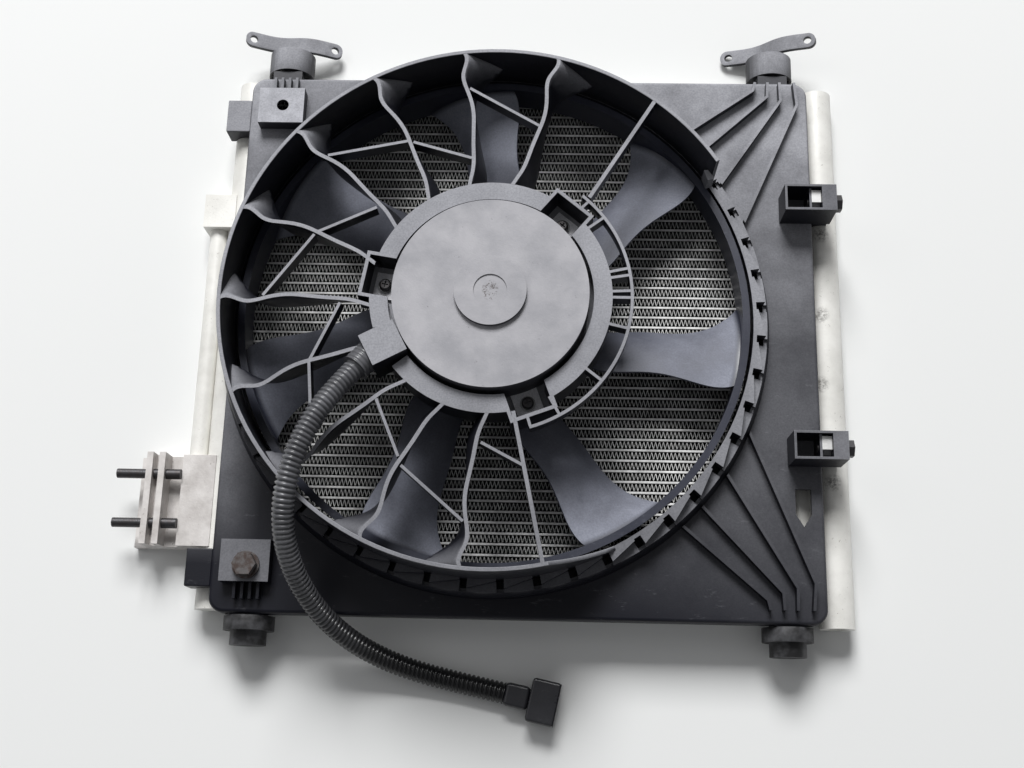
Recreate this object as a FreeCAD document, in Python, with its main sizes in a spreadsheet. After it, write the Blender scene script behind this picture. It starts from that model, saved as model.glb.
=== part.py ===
"""Air conditioning condenser with its fan shroud, fan, motor and free conduit, in millimetres.

The object lies on its back: the core is below, the shroud and the motor are above it.
Design coordinates have the fan's axis at x = 0, y = 0 and the front of the core at z = 0.
The sheet's axis_x, axis_y and front_z then carry everything into the part's own frame, whose
origin is the middle of the base.
"""
import math
import os
import re

import FreeCAD
import Part

# Driving dimensions
SIZES = [
    ("axis_x", 5.1), ("axis_y", -4.0), ("front_z", 19.0), ("fit_gap", 0.05), ("seat_gap", 0.3),
    # Core
    ("tube_pitch", 7.0), ("tube_count", 51), ("tube_thick", 1.8), ("core_depth", 16.0),
    ("tube_top_y", 171.4), ("tube_entry", 2.0), ("port_wall", 0.5), ("tube_ports", 4),
    ("fin_pitch", 24.0), ("fin_sheet", 0.4), ("fin_flat", 1.6), ("fin_end_gap", 0.5),
    ("plate_thick", 1.5),
    # Headers
    ("header_left_x", -177.0), ("header_right_x", 199.3), ("header_radius", 10.0),
    ("header_wall", 1.4), ("header_over", 0.5), ("cap_thick", 1.5), ("baffle_thick", 1.5),
    ("baffle_left_row", 18), ("baffle_right_row", 31),
    # Receiver
    ("receiver_radius", 11.0), ("receiver_wall", 1.8), ("receiver_gap", 0.5),
    ("receiver_top_y", 178.5), ("receiver_bottom_y", -188.0), ("plug_insert", 12.0),
    ("plug_head", 4.0), ("saddle_width", 14.0), ("saddle_deep", 12.0), ("saddle_upper_y", 58.0),
    ("saddle_middle_y", 11.0), ("saddle_lower_y", -36.0), ("passage_radius", 3.0),
    ("bag_radius", 8.7), ("bag_length", 220.0),
    # Pipe and connector block
    ("pipe_radius", 6.0), ("pipe_wall", 1.5), ("pipe_side_x", 16.4), ("pipe_seat", 2.5),
    ("block_top_y", 94.4), ("block_high", 23.9), ("block_wide", 21.5), ("joint_top_y", -89.5),
    ("joint_length", 59.5), ("joint_left_x", -231.0), ("joint_base_top_z", -5.0),
    ("joint_floor_z", -19.0), ("joint_pad_top_z", 2.6), ("joint_pad_wide", 21.5),
    ("flange_left_x", -222.0), ("flange_thick", 12.0), ("flange_top_z", 10.0),
    ("flange_groove", 4.0), ("groove_bottom_z", 0.0), ("port_radius", 4.0), ("port_deep", 11.0),
    ("port_upper_y", -112.0), ("port_lower_y", -127.0), ("port_centre_z", -6.0),
    ("stud_radius", 3.0), ("stud_shank", 3.3), ("stud_upper_y", -103.0), ("stud_spacing", 32.0),
    ("stud_centre_z", 4.0), ("stud_out", 20.0), ("stud_in", 9.5),
    # Shroud
    ("shroud_left_x", -173.5), ("shroud_right_x", 211.0), ("shroud_bottom_y", -186.0),
    ("lower_lip", 5.5),
    ("shroud_top_y", 178.0), ("shroud_top_z", 14.0), ("shroud_wall", 2.5),
    ("shroud_lift", 2.3), ("corner_radius", 10.0), ("edge_radius", 2.4), ("bore_radius", 167.1),
    ("pad_rise", 10.0), ("pad_left_in", 8.1), ("pad_wide", 30.9), ("pad_deep", 26.0),
    ("pad_top_in", 13.0), ("pad_bottom_in", 13.0), ("pad_hole_radius", 4.1),
    ("rib_thick", 1.8), ("rib_high", 6.0), ("slot_x", 193.1),
    ("slot_y", -107.0), ("slot_wide", 10.0), ("slot_deep", 16.0), ("slot_tip", 8.0),
    # Tunnel ring and stator rim
    ("ring_base_out", 12.9), ("ring_facet_out", 9.9), ("ring_facet_z", 25.0),
    ("ring_top_z", 31.7), ("ring_low_out", 2.9), ("ring_high_out", 8.9),
    ("ring_wall", 2.2), ("tooth_count", 48), ("tooth_angle", 3.0), ("notch_out", 2.2),
    ("notch_width", 4.8), ("rim_wall", 2.5), ("rim_top_z", 70.0), ("rim_from", 33.0),
    ("rim_to", 283.0), ("ramp_to", 298.0),
    # Stator
    ("vane_count", 10), ("vane_from", 76.5), ("vane_step", 21.0), ("vane_thick", 2.4),
    ("vane_deep", 22.0), ("brace_thick", 1.8), ("brace_deep", 10.0),
    # Motor holder
    ("holder_inner", 63.5), ("holder_outer", 75.0), ("holder_wall", 2.3), ("seat_z", 49.0),
    ("seat_thick", 3.0), ("seat_clear", 2.0), ("gap_from", 197.5), ("gap_to", 218.5),
    ("pocket_from", 50.5), ("pocket_wide", 30.0), ("pocket_outer", 81.0), ("arc_radius", 87.0),
    ("arc_wall", 2.0), ("arc_from", -73.0), ("arc_to", 50.0), ("arc_deep", 10.0),
    # Motor
    ("can_radius", 60.6), ("can_wall", 1.5), ("can_top_z", 76.0), ("boss_radius", 22.3),
    ("boss_rise", 3.0), ("recess_radius", 10.3), ("recess_deep", 0.8), ("flange_plate", 2.0),
    ("housing_radius", 50.0), ("housing_bottom_z", 38.0), ("lug_wide", 17.0),
    ("lug_reach", 75.5), ("screw_circle", 68.5), ("screw_radius", 2.5), ("screw_head", 3.75),
    ("screw_head_high", 3.2), ("screw_length", 13.0), ("washer_radius", 4.75),
    ("washer_thick", 1.0), ("shaft_radius", 4.0), ("shaft_bottom_z", 8.0),
    ("bearing_radius", 11.0), ("bearing_width", 7.0), ("hub_ring_wall", 1.8),
    ("air_gap", 1.0), ("magnet_low_z", 52.5), ("magnet_high_z", 72.0),
    ("magnet_span", 76.0), ("core_radius", 48.0), ("armature_low_z", 56.0),
    ("armature_high_z", 68.0), ("winding_inner", 16.0), ("winding_outer", 42.0),
    ("winding_high", 3.6), ("comm_radius", 13.0), ("comm_low_z", 47.0), ("card_low_z", 46.4),
    ("card_thick", 1.5), ("brush_wide", 7.0), ("brush_high", 3.2), ("brush_long", 11.0),
    ("spring_radius", 1.5), ("spring_long", 9.0), ("stop_thick", 2.5),
    # Fan
    ("blade_count", 7), ("blade_thick", 2.4), ("blade_low_z", 10.5), ("blade_high_z", 31.5),
    ("blade_camber", 3.0), ("band_inner", 160.0), ("band_outer", 164.6), ("band_low_z", 8.0),
    ("band_high_z", 33.7), ("band_wall", 2.0), ("hub_radius", 62.0), ("hub_wall", 2.5),
    ("hub_low_z", 8.0), ("hub_high_z", 34.0), ("hub_boss_radius", 12.0),
    ("hub_boss_low_z", 16.0), ("nut_flat", 13.0), ("nut_high", 6.0),
    # Upper and lower mounts
    ("pin_left_x", -150.0), ("pin_right_x", 188.2), ("pin_z", -2.0), ("pin_radius", 6.0),
    ("pin_length", 15.0), ("foot_wide", 20.0), ("foot_thick", 3.5), ("foot_high", 8.0),
    ("cup_radius", 15.75), ("cup_wall", 1.75), ("cup_deep", 17.0), ("cup_gap", 1.0),
    ("bush_recess", 2.5),
    ("web_wide", 20.0), ("web_long", 4.5), ("web_thick", 5.0), ("ear_slope", 8.3), ("bar_bend", 10.0),
    ("ear_spacing", 57.5),
    ("ear_wide", 11.0), ("ear_thick", 3.0), ("ear_hole", 2.75), ("ear_end", 5.5),
    ("left_tilt", 15.3), ("right_tilt", -26.3), ("bush_radius", 11.5),
    ("bush_flange_radius", 16.0), ("bush_flange_long", 9.0), ("bush_nose", 9.0),
    # Clamp blocks, clip brackets and bolts
    ("clamp_wide", 16.5), ("clamp_long", 24.0), ("clamp_top_z", 12.0), ("clamp_low_z", -4.0),
    ("clamp_upper_y", 149.7), ("clamp_lower_y", -163.5), ("clip_left_x", 189.0),
    ("clip_top_z", 38.0), ("clip_long", 18.0), ("clip_wall", 1.5), ("clip_end_x", 213.0),
    ("clip_end_thick", 9.5), ("clip_partition_x", 205.5), ("clip_upper_y", 82.4),
    ("clip_lower_y", -83.3), ("clip_bolt_z", 27.0), ("clip_bolt_radius", 3.0),
    ("clip_head_flat", 10.0), ("clip_head_high", 5.0), ("clip_bolt_long", 17.5),
    ("clip_nut_high", 5.0), ("strap_low_z", -2.0), ("strap_wide", 11.0),
    ("pad_bolt_x", -148.7), ("pad_bolt_radius", 4.0), ("pad_bolt_flat", 13.0),
    ("pad_bolt_flange", 8.5), ("pad_flange_high", 2.0), ("pad_head_high", 6.0),
    ("pad_bolt_long", 17.0), ("pad_nut_high", 6.5),
    # Cable outlet, conduit and connector
    ("outlet_angle", 208.0), ("outlet_inner", 61.2), ("outlet_outer", 84.0),
    ("outlet_wide", 21.0), ("outlet_top_z", 78.0), ("spigot_radius", 8.2),
    ("conduit_radius", 6.75), ("plug_turn", -11.7), ("plug_body_long", 16.0),
    ("plug_body_wide", 14.5), ("plug_long", 18.0), ("plug_wide", 27.0), ("plug_high", 17.0),
    ("plug_wall", 1.8), ("terminal_wide", 2.8), ("terminal_pitch", 7.0),
]

# Route of the conduit, in design coordinates; the last point is at the connector
CONDUIT_ROUTE = [
    (-80.7, -48.5, 70.6), (-92.6, -64.4, 76.2), (-103.2, -82.6, 80.2), (-111.4, -102.8, 81.4),
    (-116.6, -123.6, 79.2), (-118.4, -143.4, 71.0), (-116.2, -161.6, 57.6),
    (-109.8, -178.4, 41.4), (-99.0, -193.6, 24.6), (-84.0, -206.2, 9.4), (-65.4, -216.0, -2.6),
    (-43.6, -223.4, -9.8), (-20.0, -228.8, -12.25), (-2.4, -232.4, -12.25),
    (12.0, -235.4, -12.25),
]
SPIGOT_ROOT = (-69.2, -33.1, 65.2)

# Shape of one vane: radius, angle of its top edge, angle that its lower edge lags behind
VANE_STATIONS = [
    (74.5, 4.5, 5.0), (86.0, 1.5, 4.5), (98.0, 0.5, 3.0), (112.0, -0.3, 1.2),
    (125.0, -0.8, 0.2), (138.0, 0.0, 1.0), (152.0, 0.8, 4.0), (167.1, 0.0, 8.0),
]
# Braces between the vanes: radius and angle at each end
VANE_BRACES = [
    (142, 97, 118, 76), (115, 117, 93, 99), (141, 139, 117, 118), (117, 160, 93, 142),
    (141, 181, 118, 161), (118, 202, 93, 184), (118, 202, 130, 215), (95, 225, 115, 243),
    (119, 245, 141, 265), (93, 268, 109, 282),
]
# Shape of one blade: radius, angle of the leading edge, angle of the trailing edge
BLADE_STATIONS = [
    (60.6, -2.0, -25.5), (90.0, -2.6, -24.0), (112.0, -2.4, -19.5), (132.0, -1.5, -18.6),
    (148.0, 1.4, -18.0), (162.0, 6.0, -15.2),
]
# Ribs of a right corner: place beside the pin, drop from the edge, angle at the ring
CORNER_RIBS = [(-15.0, 9.0, 47.5), (-5.5, 13.5, 41.8), (3.5, 16.5, 33.3), (14.5, 19.5, 23.2)]

doc = FreeCAD.newDocument("condenser")
sheet = doc.addObject("Spreadsheet::Sheet", "sizes")
for row, (alias, value) in enumerate(SIZES, start=1):
    sheet.set("A%d" % row, alias)
    sheet.set("B%d" % row, str(value))
    sheet.setAlias("B%d" % row, alias)
doc.recompute()
ALIASES = {alias for alias, value in SIZES}
nodes = []


def size(alias):
    """The sheet's value of one alias."""
    return float(sheet.get(alias))


def formula(text):
    """Point each alias in a formula at the sheet."""
    return re.sub(r"[a-z][a-z0-9_]*", lambda m: "sizes." + m[0] if m[0] in ALIASES else m[0], str(text))


def bind(obj, **formulas):
    """Bind an object's properties to formulas of the sheet's values."""
    for prop, text in formulas.items():
        obj.setExpression(prop, formula(text))
    return obj


def place(obj, x, y, z, turn=None):
    """Put an object at a point given in design coordinates, turned about an axis if asked."""
    if turn:
        obj.Placement.Rotation = FreeCAD.Rotation(FreeCAD.Vector(*turn[:3]), turn[3])
    obj.setExpression("Placement.Base.x", formula("axis_x + (%s)" % x))
    obj.setExpression("Placement.Base.y", formula("axis_y + (%s)" % y))
    obj.setExpression("Placement.Base.z", formula("front_z + (%s)" % z))
    return obj


ALONG_X = (0, 1, 0, 90)
ALONG_Y = (1, 0, 0, -90)


def box(x, y, z, length, width, height):
    """A block from its low corner, with its sizes along X, Y and Z."""
    obj = bind(doc.addObject("Part::Box", "Block"), Length=length, Width=width, Height=height)
    return place(obj, x, y, z)


def rod(radius, length, x, y, z, turn=None):
    """A cylinder from the middle of its first end."""
    obj = bind(doc.addObject("Part::Cylinder", "Rod"), Radius=radius, Height=length)
    return place(obj, x, y, z, turn)


def prism(sides, flats, length, x, y, z, turn=None):
    """A regular prism, such as a bolt's head, from its width across flats."""
    obj = doc.addObject("Part::Prism", "Prism")
    obj.Polygon = sides
    bind(obj, Circumradius="(%s) / 2 / cos(180 deg / %d)" % (flats, sides), Height=length)
    return place(obj, x, y, z, turn)


def fuse(*parts):
    obj = doc.addObject("Part::MultiFuse", "Joined")
    obj.Shapes = list(parts)
    return obj


def cut(base, *tools):
    obj = doc.addObject("Part::Cut", "Cut")
    obj.Base = base
    obj.Tool = tools[0] if len(tools) == 1 else fuse(*tools)
    return obj


def group(*parts):
    """Separate solids that share one node."""
    obj = doc.addObject("Part::Compound", "Group")
    obj.Links = list(parts)
    return obj


def shaped(shape):
    """A shape made from the sheet's values in design coordinates, then carried into the frame."""
    obj = doc.addObject("Part::Feature", "Shaped")
    obj.Shape = shape
    frame = FreeCAD.Vector(size("axis_x"), size("axis_y"), size("front_z"))
    obj.Placement = FreeCAD.Placement(frame, FreeCAD.Rotation()) * shape.Placement
    return obj


def node(obj, name):
    """Name a finished sub-part."""
    obj.Label = name
    nodes.append(obj)
    return obj


def polar(radius, degrees, z=0.0):
    turn = math.radians(degrees)
    return FreeCAD.Vector(radius * math.cos(turn), radius * math.sin(turn), z)


def outline(points):
    """A closed wire through the points."""
    return Part.makePolygon(list(points) + [points[0]])


def upright(points, height):
    """A prism that stands on a flat outline."""
    return Part.Face(outline(points)).extrude(FreeCAD.Vector(0, 0, height))


def wall(start, end, thick, low, high):
    """A thin upright wall between two points, its ends square."""
    start = FreeCAD.Vector(start[0], start[1], low)
    end = FreeCAD.Vector(end[0], end[1], low)
    side = FreeCAD.Vector(start.y - end.y, end.x - start.x, 0)
    side.normalize()
    side = side * (thick / 2)
    return upright([start + side, end + side, end - side, start - side], high - low)


def sector(inner, outer, low, high, start, end):
    """Part of an upright ring between two angles."""
    face = Part.Face(outline([
        FreeCAD.Vector(inner, 0, low), FreeCAD.Vector(outer, 0, low),
        FreeCAD.Vector(outer, 0, high), FreeCAD.Vector(inner, 0, high)]))
    body = face.revolve(FreeCAD.Vector(), FreeCAD.Vector(0, 0, 1), end - start)
    return turned(body, start)


def turned(shape, degrees):
    """A copy turned about the fan's axis."""
    copy = shape.copy()
    copy.rotate(FreeCAD.Vector(), FreeCAD.Vector(0, 0, 1), degrees)
    return copy


def radial_box(start, length, wide, low, high, angle):
    """A block that points away from the axis."""
    return turned(Part.makeBox(length, wide, high, FreeCAD.Vector(start, -wide / 2, low)), angle)


def moved(shape, x, y, z):
    copy = shape.copy()
    copy.translate(FreeCAD.Vector(x, y, z))
    return copy


def joined(shapes):
    """One solid from shapes that overlap or share faces."""
    body = shapes[0].fuse(shapes[1:])
    return body.removeSplitter()


# Values that several pieces share
FIN_HIGH = "(tube_pitch - tube_thick)"
TUBE_LAST_Y = "(tube_top_y - (tube_count - 1) * tube_pitch)"
PLATE_TOP_Y = "(tube_top_y + tube_thick / 2 + %s)" % FIN_HIGH
PLATE_BOTTOM_Y = "(%s - tube_thick / 2 - %s - plate_thick)" % (TUBE_LAST_Y, FIN_HIGH)
HEADER_TOP_Y = "(%s + plate_thick + header_over)" % PLATE_TOP_Y
HEADER_BOTTOM_Y = "(%s - header_over)" % PLATE_BOTTOM_Y
HEADER_Z = "(-core_depth / 2)"
RECEIVER_X = "(header_right_x + header_radius + receiver_gap + receiver_radius)"
TUBE_LEFT_X = "(header_left_x + tube_entry)"
TUBE_LONG = "(header_right_x - header_left_x - 2 * tube_entry)"
FOOT_TOP_Y = "(%s + cap_thick + seat_gap)" % HEADER_TOP_Y
FOOT_BOTTOM_Y = "(%s - cap_thick - seat_gap)" % HEADER_BOTTOM_Y
PLATE_LOW_Z = "(shroud_top_z - shroud_wall)"
PAD_TOP_Z = "(shroud_top_z + pad_rise)"
PIPE_X = "(header_left_x - pipe_side_x)"


# Core: flat tubes with four ports each, brazed into both headers
def core_tube(with_ports):
    """The lowest flat tube, with its ports if asked."""
    left = size("header_left_x") + size("tube_entry")
    length = size("header_right_x") - size("header_left_x") - 2 * size("tube_entry")
    depth = size("core_depth")
    thick = size("tube_thick")
    middle = size("tube_top_y") - (size("tube_count") - 1) * size("tube_pitch")
    body = Part.makeBox(length, thick, depth, FreeCAD.Vector(left, middle - thick / 2, -depth))
    if not with_ports:
        return body
    skin = size("port_wall")
    count = int(size("tube_ports"))
    port = (depth - skin * (count + 1)) / count
    ports = [
        Part.makeBox(length, thick - 2 * skin, port, FreeCAD.Vector(
            left, middle - thick / 2 + skin, -depth + skin + i * (port + skin)))
        for i in range(count)]
    return body.cut(ports)


def rows(shape, count):
    """Copies of a row, one tube pitch apart."""
    return Part.makeCompound([moved(shape, 0, i * size("tube_pitch"), 0) for i in range(count)])


tube_count = int(size("tube_count"))
node(shaped(rows(core_tube(True), tube_count)), "core_tubes")
tube_slots = shaped(rows(core_tube(False), tube_count))


# Corrugated fins: one strip above and below every tube, flat where it is brazed
def fin_strip():
    """The lowest strip, a wave of sheet whose flats lie on the tubes."""
    left = size("header_left_x") + size("header_radius") + size("fin_end_gap")
    right = size("header_right_x") - size("header_radius") - size("fin_end_gap")
    thick = size("tube_thick")
    high = size("tube_pitch") - thick
    sheet_thick = size("fin_sheet")
    first = size("tube_top_y") - size("tube_count") * size("tube_pitch") + thick / 2
    waves = int((right - left) / size("fin_pitch"))
    half = (right - left) / waves / 2
    flat = size("fin_flat")
    lower = []
    for i in range(2 * waves):
        y = first if i % 2 == 0 else first + high - sheet_thick
        lower.append((left + i * half, y))
        lower.append((left + i * half + flat, y))
    lower.append((right, first))
    upper = [(x, y + sheet_thick) for x, y in reversed(lower)]
    points = [FreeCAD.Vector(x, y, -size("core_depth")) for x, y in lower + upper]
    return upright(points, size("core_depth"))


node(shaped(rows(fin_strip(), tube_count + 1)), "core_fins")

side_plates = group(
    box(TUBE_LEFT_X, PLATE_TOP_Y, "-core_depth", TUBE_LONG, "plate_thick", "core_depth"),
    box(TUBE_LEFT_X, PLATE_BOTTOM_Y, "-core_depth", TUBE_LONG, "plate_thick", "core_depth"))
node(side_plates, "side_plates")


# Headers: round tubes with a slot for every flat tube and side plate
def header(x, *bores):
    length = "%s - %s" % (HEADER_TOP_Y, HEADER_BOTTOM_Y)
    outer = rod("header_radius", length, x, HEADER_BOTTOM_Y, HEADER_Z, ALONG_Y)
    inner = rod("header_radius - header_wall", length, x, HEADER_BOTTOM_Y, HEADER_Z, ALONG_Y)
    return cut(cut(cut(outer, inner, *bores), tube_slots), side_plates)


def header_body(x):
    """The full outside of a header, as the tool that shapes what seats on it."""
    length = "%s - %s" % (HEADER_TOP_Y, HEADER_BOTTOM_Y)
    return rod("header_radius", length, x, HEADER_BOTTOM_Y, HEADER_Z, ALONG_Y)


BLOCK_MIDDLE_Y = "(block_top_y - block_high / 2)"
upper_passage = rod("passage_radius", "pipe_side_x", PIPE_X, BLOCK_MIDDLE_Y, HEADER_Z, ALONG_X)
lower_passage = rod("passage_radius", "header_left_x - flange_left_x - port_deep",
                    "flange_left_x + port_deep", "port_lower_y", HEADER_Z, ALONG_X)
node(header("header_left_x", upper_passage, lower_passage), "header_left")
receiver_ports = [
    rod("passage_radius", "%s - header_right_x" % RECEIVER_X, "header_right_x", y, HEADER_Z, ALONG_X)
    for y in ("saddle_middle_y", "saddle_lower_y")]
node(header("header_right_x", *receiver_ports), "header_right")

caps = []
for header_x in ("header_left_x", "header_right_x"):
    for end_y in (HEADER_TOP_Y, "%s - cap_thick" % HEADER_BOTTOM_Y):
        caps.append(rod("header_radius", "cap_thick", header_x, end_y, HEADER_Z, ALONG_Y))
node(group(*caps), "header_caps")

baffles = [
    rod("header_radius - header_wall - fit_gap", "baffle_thick", header_x,
        "tube_top_y - (%s + 0.5) * tube_pitch - baffle_thick / 2" % row, HEADER_Z, ALONG_Y)
    for header_x, row in (("header_left_x", "baffle_left_row"), ("header_right_x", "baffle_right_row"))]
node(group(*baffles), "header_baffles")

# Receiver: closed tube beside the right header, its plug screwed into the lower end
receiver_long = "receiver_top_y - receiver_bottom_y"
receiver_body = rod("receiver_radius", receiver_long, RECEIVER_X, "receiver_bottom_y", HEADER_Z, ALONG_Y)
receiver_hollow = rod("receiver_radius - receiver_wall", receiver_long + " - receiver_wall", RECEIVER_X,
                      "receiver_bottom_y", HEADER_Z, ALONG_Y)
node(cut(receiver_body, receiver_hollow, *receiver_ports), "receiver_tube")
plug_inner = rod("receiver_radius - receiver_wall - fit_gap", "plug_insert", RECEIVER_X,
                 "receiver_bottom_y", HEADER_Z, ALONG_Y)
plug_outer = rod("receiver_radius", "plug_head", RECEIVER_X, "receiver_bottom_y - plug_head", HEADER_Z,
                 ALONG_Y)
plug_socket = prism(6, "receiver_radius", "plug_head", RECEIVER_X,
                    "receiver_bottom_y - plug_head - seat_gap", HEADER_Z, ALONG_Y)
node(cut(fuse(plug_inner, plug_outer), plug_socket), "receiver_plug")
node(rod("bag_radius", "bag_length", RECEIVER_X, "receiver_bottom_y + plug_insert + seat_gap",
         "%s - (receiver_radius - receiver_wall - bag_radius - fit_gap)" % HEADER_Z, ALONG_Y), "desiccant_bag")
saddles = []
for saddle_y in ("saddle_upper_y", "saddle_middle_y", "saddle_lower_y"):
    saddles.append(box("header_right_x + header_radius - saddle_width / 2",
                       saddle_y + " - saddle_width / 2", "%s - saddle_deep / 2" % HEADER_Z,
                       "saddle_width + receiver_gap", "saddle_width", "saddle_deep"))
receiver_outside = rod("receiver_radius", receiver_long, RECEIVER_X, "receiver_bottom_y", HEADER_Z, ALONG_Y)
node(cut(group(*saddles), header_body("header_right_x"), receiver_outside, *receiver_ports),
     "receiver_saddles")

# Left pipe with its upper block and the connector block for the vehicle's lines
PIPE_TOP_Y = "(block_top_y - block_high + pipe_seat)"
PIPE_LOW_Y = "(joint_top_y - pipe_seat)"


def pipe_socket(y, length, radius):
    return rod(radius, length, PIPE_X, y, HEADER_Z, ALONG_Y)


pipe_block = box("%s - pipe_radius - pipe_wall * 2" % PIPE_X, "block_top_y - block_high", "-core_depth",
                 "block_wide", "block_high", "core_depth + shroud_lift")
node(cut(pipe_block, header_body("header_left_x"), upper_passage,
         pipe_socket("block_top_y - block_high", "pipe_seat", "pipe_radius + fit_gap"),
         pipe_socket("block_top_y - block_high", "block_high / 2", "pipe_radius - pipe_wall")),
     "pipe_block")
pipe_long = "%s - %s" % (PIPE_TOP_Y, PIPE_LOW_Y)
node(cut(pipe_socket(PIPE_LOW_Y, pipe_long, "pipe_radius"),
         pipe_socket(PIPE_LOW_Y, pipe_long, "pipe_radius - pipe_wall")), "inlet_pipe")

JOINT_BOTTOM_Y = "(joint_top_y - joint_length)"
joint_base = box("flange_left_x", JOINT_BOTTOM_Y, "joint_floor_z",
                 "header_left_x - header_radius + 4 - flange_left_x", "joint_length",
                 "joint_base_top_z - joint_floor_z")
joint_foot = box("joint_left_x", JOINT_BOTTOM_Y, "joint_floor_z", "flange_left_x - joint_left_x",
                 "joint_length", "port_centre_z - port_radius - plate_thick / 3 - joint_floor_z")
joint_pad = box("%s - pipe_radius - 1" % PIPE_X, JOINT_BOTTOM_Y, "joint_base_top_z", "joint_pad_wide",
                "joint_length", "joint_pad_top_z - joint_base_top_z")
joint_flange = box("flange_left_x", JOINT_BOTTOM_Y, "joint_base_top_z", "flange_thick", "joint_length",
                   "flange_top_z - joint_base_top_z")
joint_groove = box("flange_left_x + (flange_thick - flange_groove) / 2", JOINT_BOTTOM_Y + " - 1",
                   "groove_bottom_z", "flange_groove", "joint_length + 2", "flange_top_z")
joint_ports = [
    rod("port_radius", "port_deep", "flange_left_x", y, "port_centre_z", ALONG_X)
    for y in ("port_upper_y", "port_lower_y")]
port_step = rod("passage_radius", "%s - flange_left_x - port_deep" % PIPE_X, "flange_left_x + port_deep",
                "port_upper_y", HEADER_Z, ALONG_X)
pipe_passage = pipe_socket("port_upper_y", "joint_top_y - port_upper_y", "pipe_radius - pipe_wall")
STUD_SPOTS = ("stud_upper_y", "(stud_upper_y - stud_spacing)")
stud_holes = [
    rod("stud_shank + fit_gap", "flange_thick", "flange_left_x", y, "stud_centre_z", ALONG_X)
    for y in STUD_SPOTS]
node(cut(fuse(joint_base, joint_foot, joint_pad, joint_flange), header_body("header_left_x"), joint_groove,
         pipe_socket(PIPE_LOW_Y, "pipe_seat", "pipe_radius + fit_gap"), pipe_passage, port_step,
         lower_passage, *(joint_ports + stud_holes)), "connector_block")
studs = [
    fuse(rod("stud_radius", "stud_out + 1", "flange_left_x - stud_out", y, "stud_centre_z", ALONG_X),
         rod("stud_shank", "flange_thick + stud_in", "flange_left_x", y, "stud_centre_z", ALONG_X))
    for y in STUD_SPOTS]
node(group(*studs), "connector_studs")


# Shroud plate with its skirt, square pads, ribs and mounting pins
def rounded_plate():
    """A block with round corners and a round upper edge."""
    block = box("shroud_left_x", "shroud_bottom_y - lower_lip", "shroud_lift", "shroud_right_x - shroud_left_x",
                "shroud_top_y - shroud_bottom_y + lower_lip", "shroud_top_z - shroud_lift")
    doc.recompute()
    top = size("front_z") + size("shroud_top_z")
    corners = []
    edges = []
    for number, edge in enumerate(block.Shape.Edges, start=1):
        ends = [vertex.Z for vertex in edge.Vertexes]
        if abs(ends[0] - ends[1]) > 1:
            corners.append((number, size("corner_radius"), size("corner_radius")))
        elif min(ends) > top - 0.01:
            edges.append((number, size("edge_radius"), size("edge_radius")))
    rounded = doc.addObject("Part::Fillet", "Rounded")
    rounded.Base = block
    rounded.Edges = corners + edges
    return rounded


skirt_inside = box("shroud_left_x + shroud_wall", "shroud_bottom_y - lower_lip + shroud_wall", "shroud_lift",
                   "shroud_right_x - shroud_left_x - 2 * shroud_wall",
                   "shroud_top_y - shroud_bottom_y + lower_lip - 2 * shroud_wall",
                   "%s - shroud_lift" % PLATE_LOW_Z)
shroud_plate = cut(rounded_plate(), skirt_inside)

PAD_X = "(shroud_left_x + pad_left_in)"
UPPER_PAD_Y = "(shroud_top_y - pad_top_in - pad_deep)"
LOWER_PAD_Y = "(shroud_bottom_y + pad_bottom_in)"
pads = []
pad_hollows = []
for pad_y in (UPPER_PAD_Y, LOWER_PAD_Y):
    pads.append(box(PAD_X, pad_y, PLATE_LOW_Z, "pad_wide", "pad_deep", "%s - %s" % (PAD_TOP_Z, PLATE_LOW_Z)))
    pad_hollows.append(box(PAD_X + " + shroud_wall", pad_y + " + shroud_wall", "shroud_lift",
                           "pad_wide - 2 * shroud_wall", "pad_deep - 2 * shroud_wall",
                           "%s - shroud_wall - shroud_lift" % PAD_TOP_Z))
pad_hole = rod("pad_hole_radius", "pad_rise + 1", PAD_X + " + pad_wide / 2 + 1",
               UPPER_PAD_Y + " + pad_deep / 2", "shroud_top_z")
PAD_BOLT_Y = "(%s + pad_deep / 2 - 3)" % LOWER_PAD_Y
pad_bolt_hole = rod("pad_bolt_radius + fit_gap", "pad_rise + 1", "pad_bolt_x", PAD_BOLT_Y, "shroud_top_z")


def mount_pin(x, foot_y, edge_y, outward):
    """A pin that stands out of the skirt on its foot; outward is 1 for the upper edge."""
    low = foot_y if outward > 0 else "%s - foot_thick" % foot_y
    reach = "(%s + foot_thick - %s + shroud_wall)" if outward > 0 else "(%s - %s + foot_thick + shroud_wall)"
    reach = reach % ((foot_y, edge_y) if outward > 0 else (edge_y, foot_y))
    start = "%s - shroud_wall" % edge_y if outward > 0 else "%s - foot_thick" % foot_y
    pin_start = "%s + foot_thick" % foot_y if outward > 0 else "%s - foot_thick - pin_length" % foot_y
    return [
        box("%s - foot_wide / 2" % x, low, "pin_z - foot_high", "foot_wide", "foot_thick",
            "foot_high + shroud_lift - pin_z"),
        box("%s - foot_wide / 2" % x, start, "shroud_lift", "foot_wide", reach,
            "%s - shroud_lift" % PLATE_LOW_Z),
        rod("pin_radius", "pin_length", x, pin_start, "pin_z", ALONG_Y)]


pins = []
for pin_x in ("pin_left_x", "pin_right_x"):
    pins += mount_pin(pin_x, FOOT_TOP_Y, "shroud_top_y", 1)
    pins += mount_pin(pin_x, FOOT_BOTTOM_Y, "shroud_bottom_y", -1)


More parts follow.
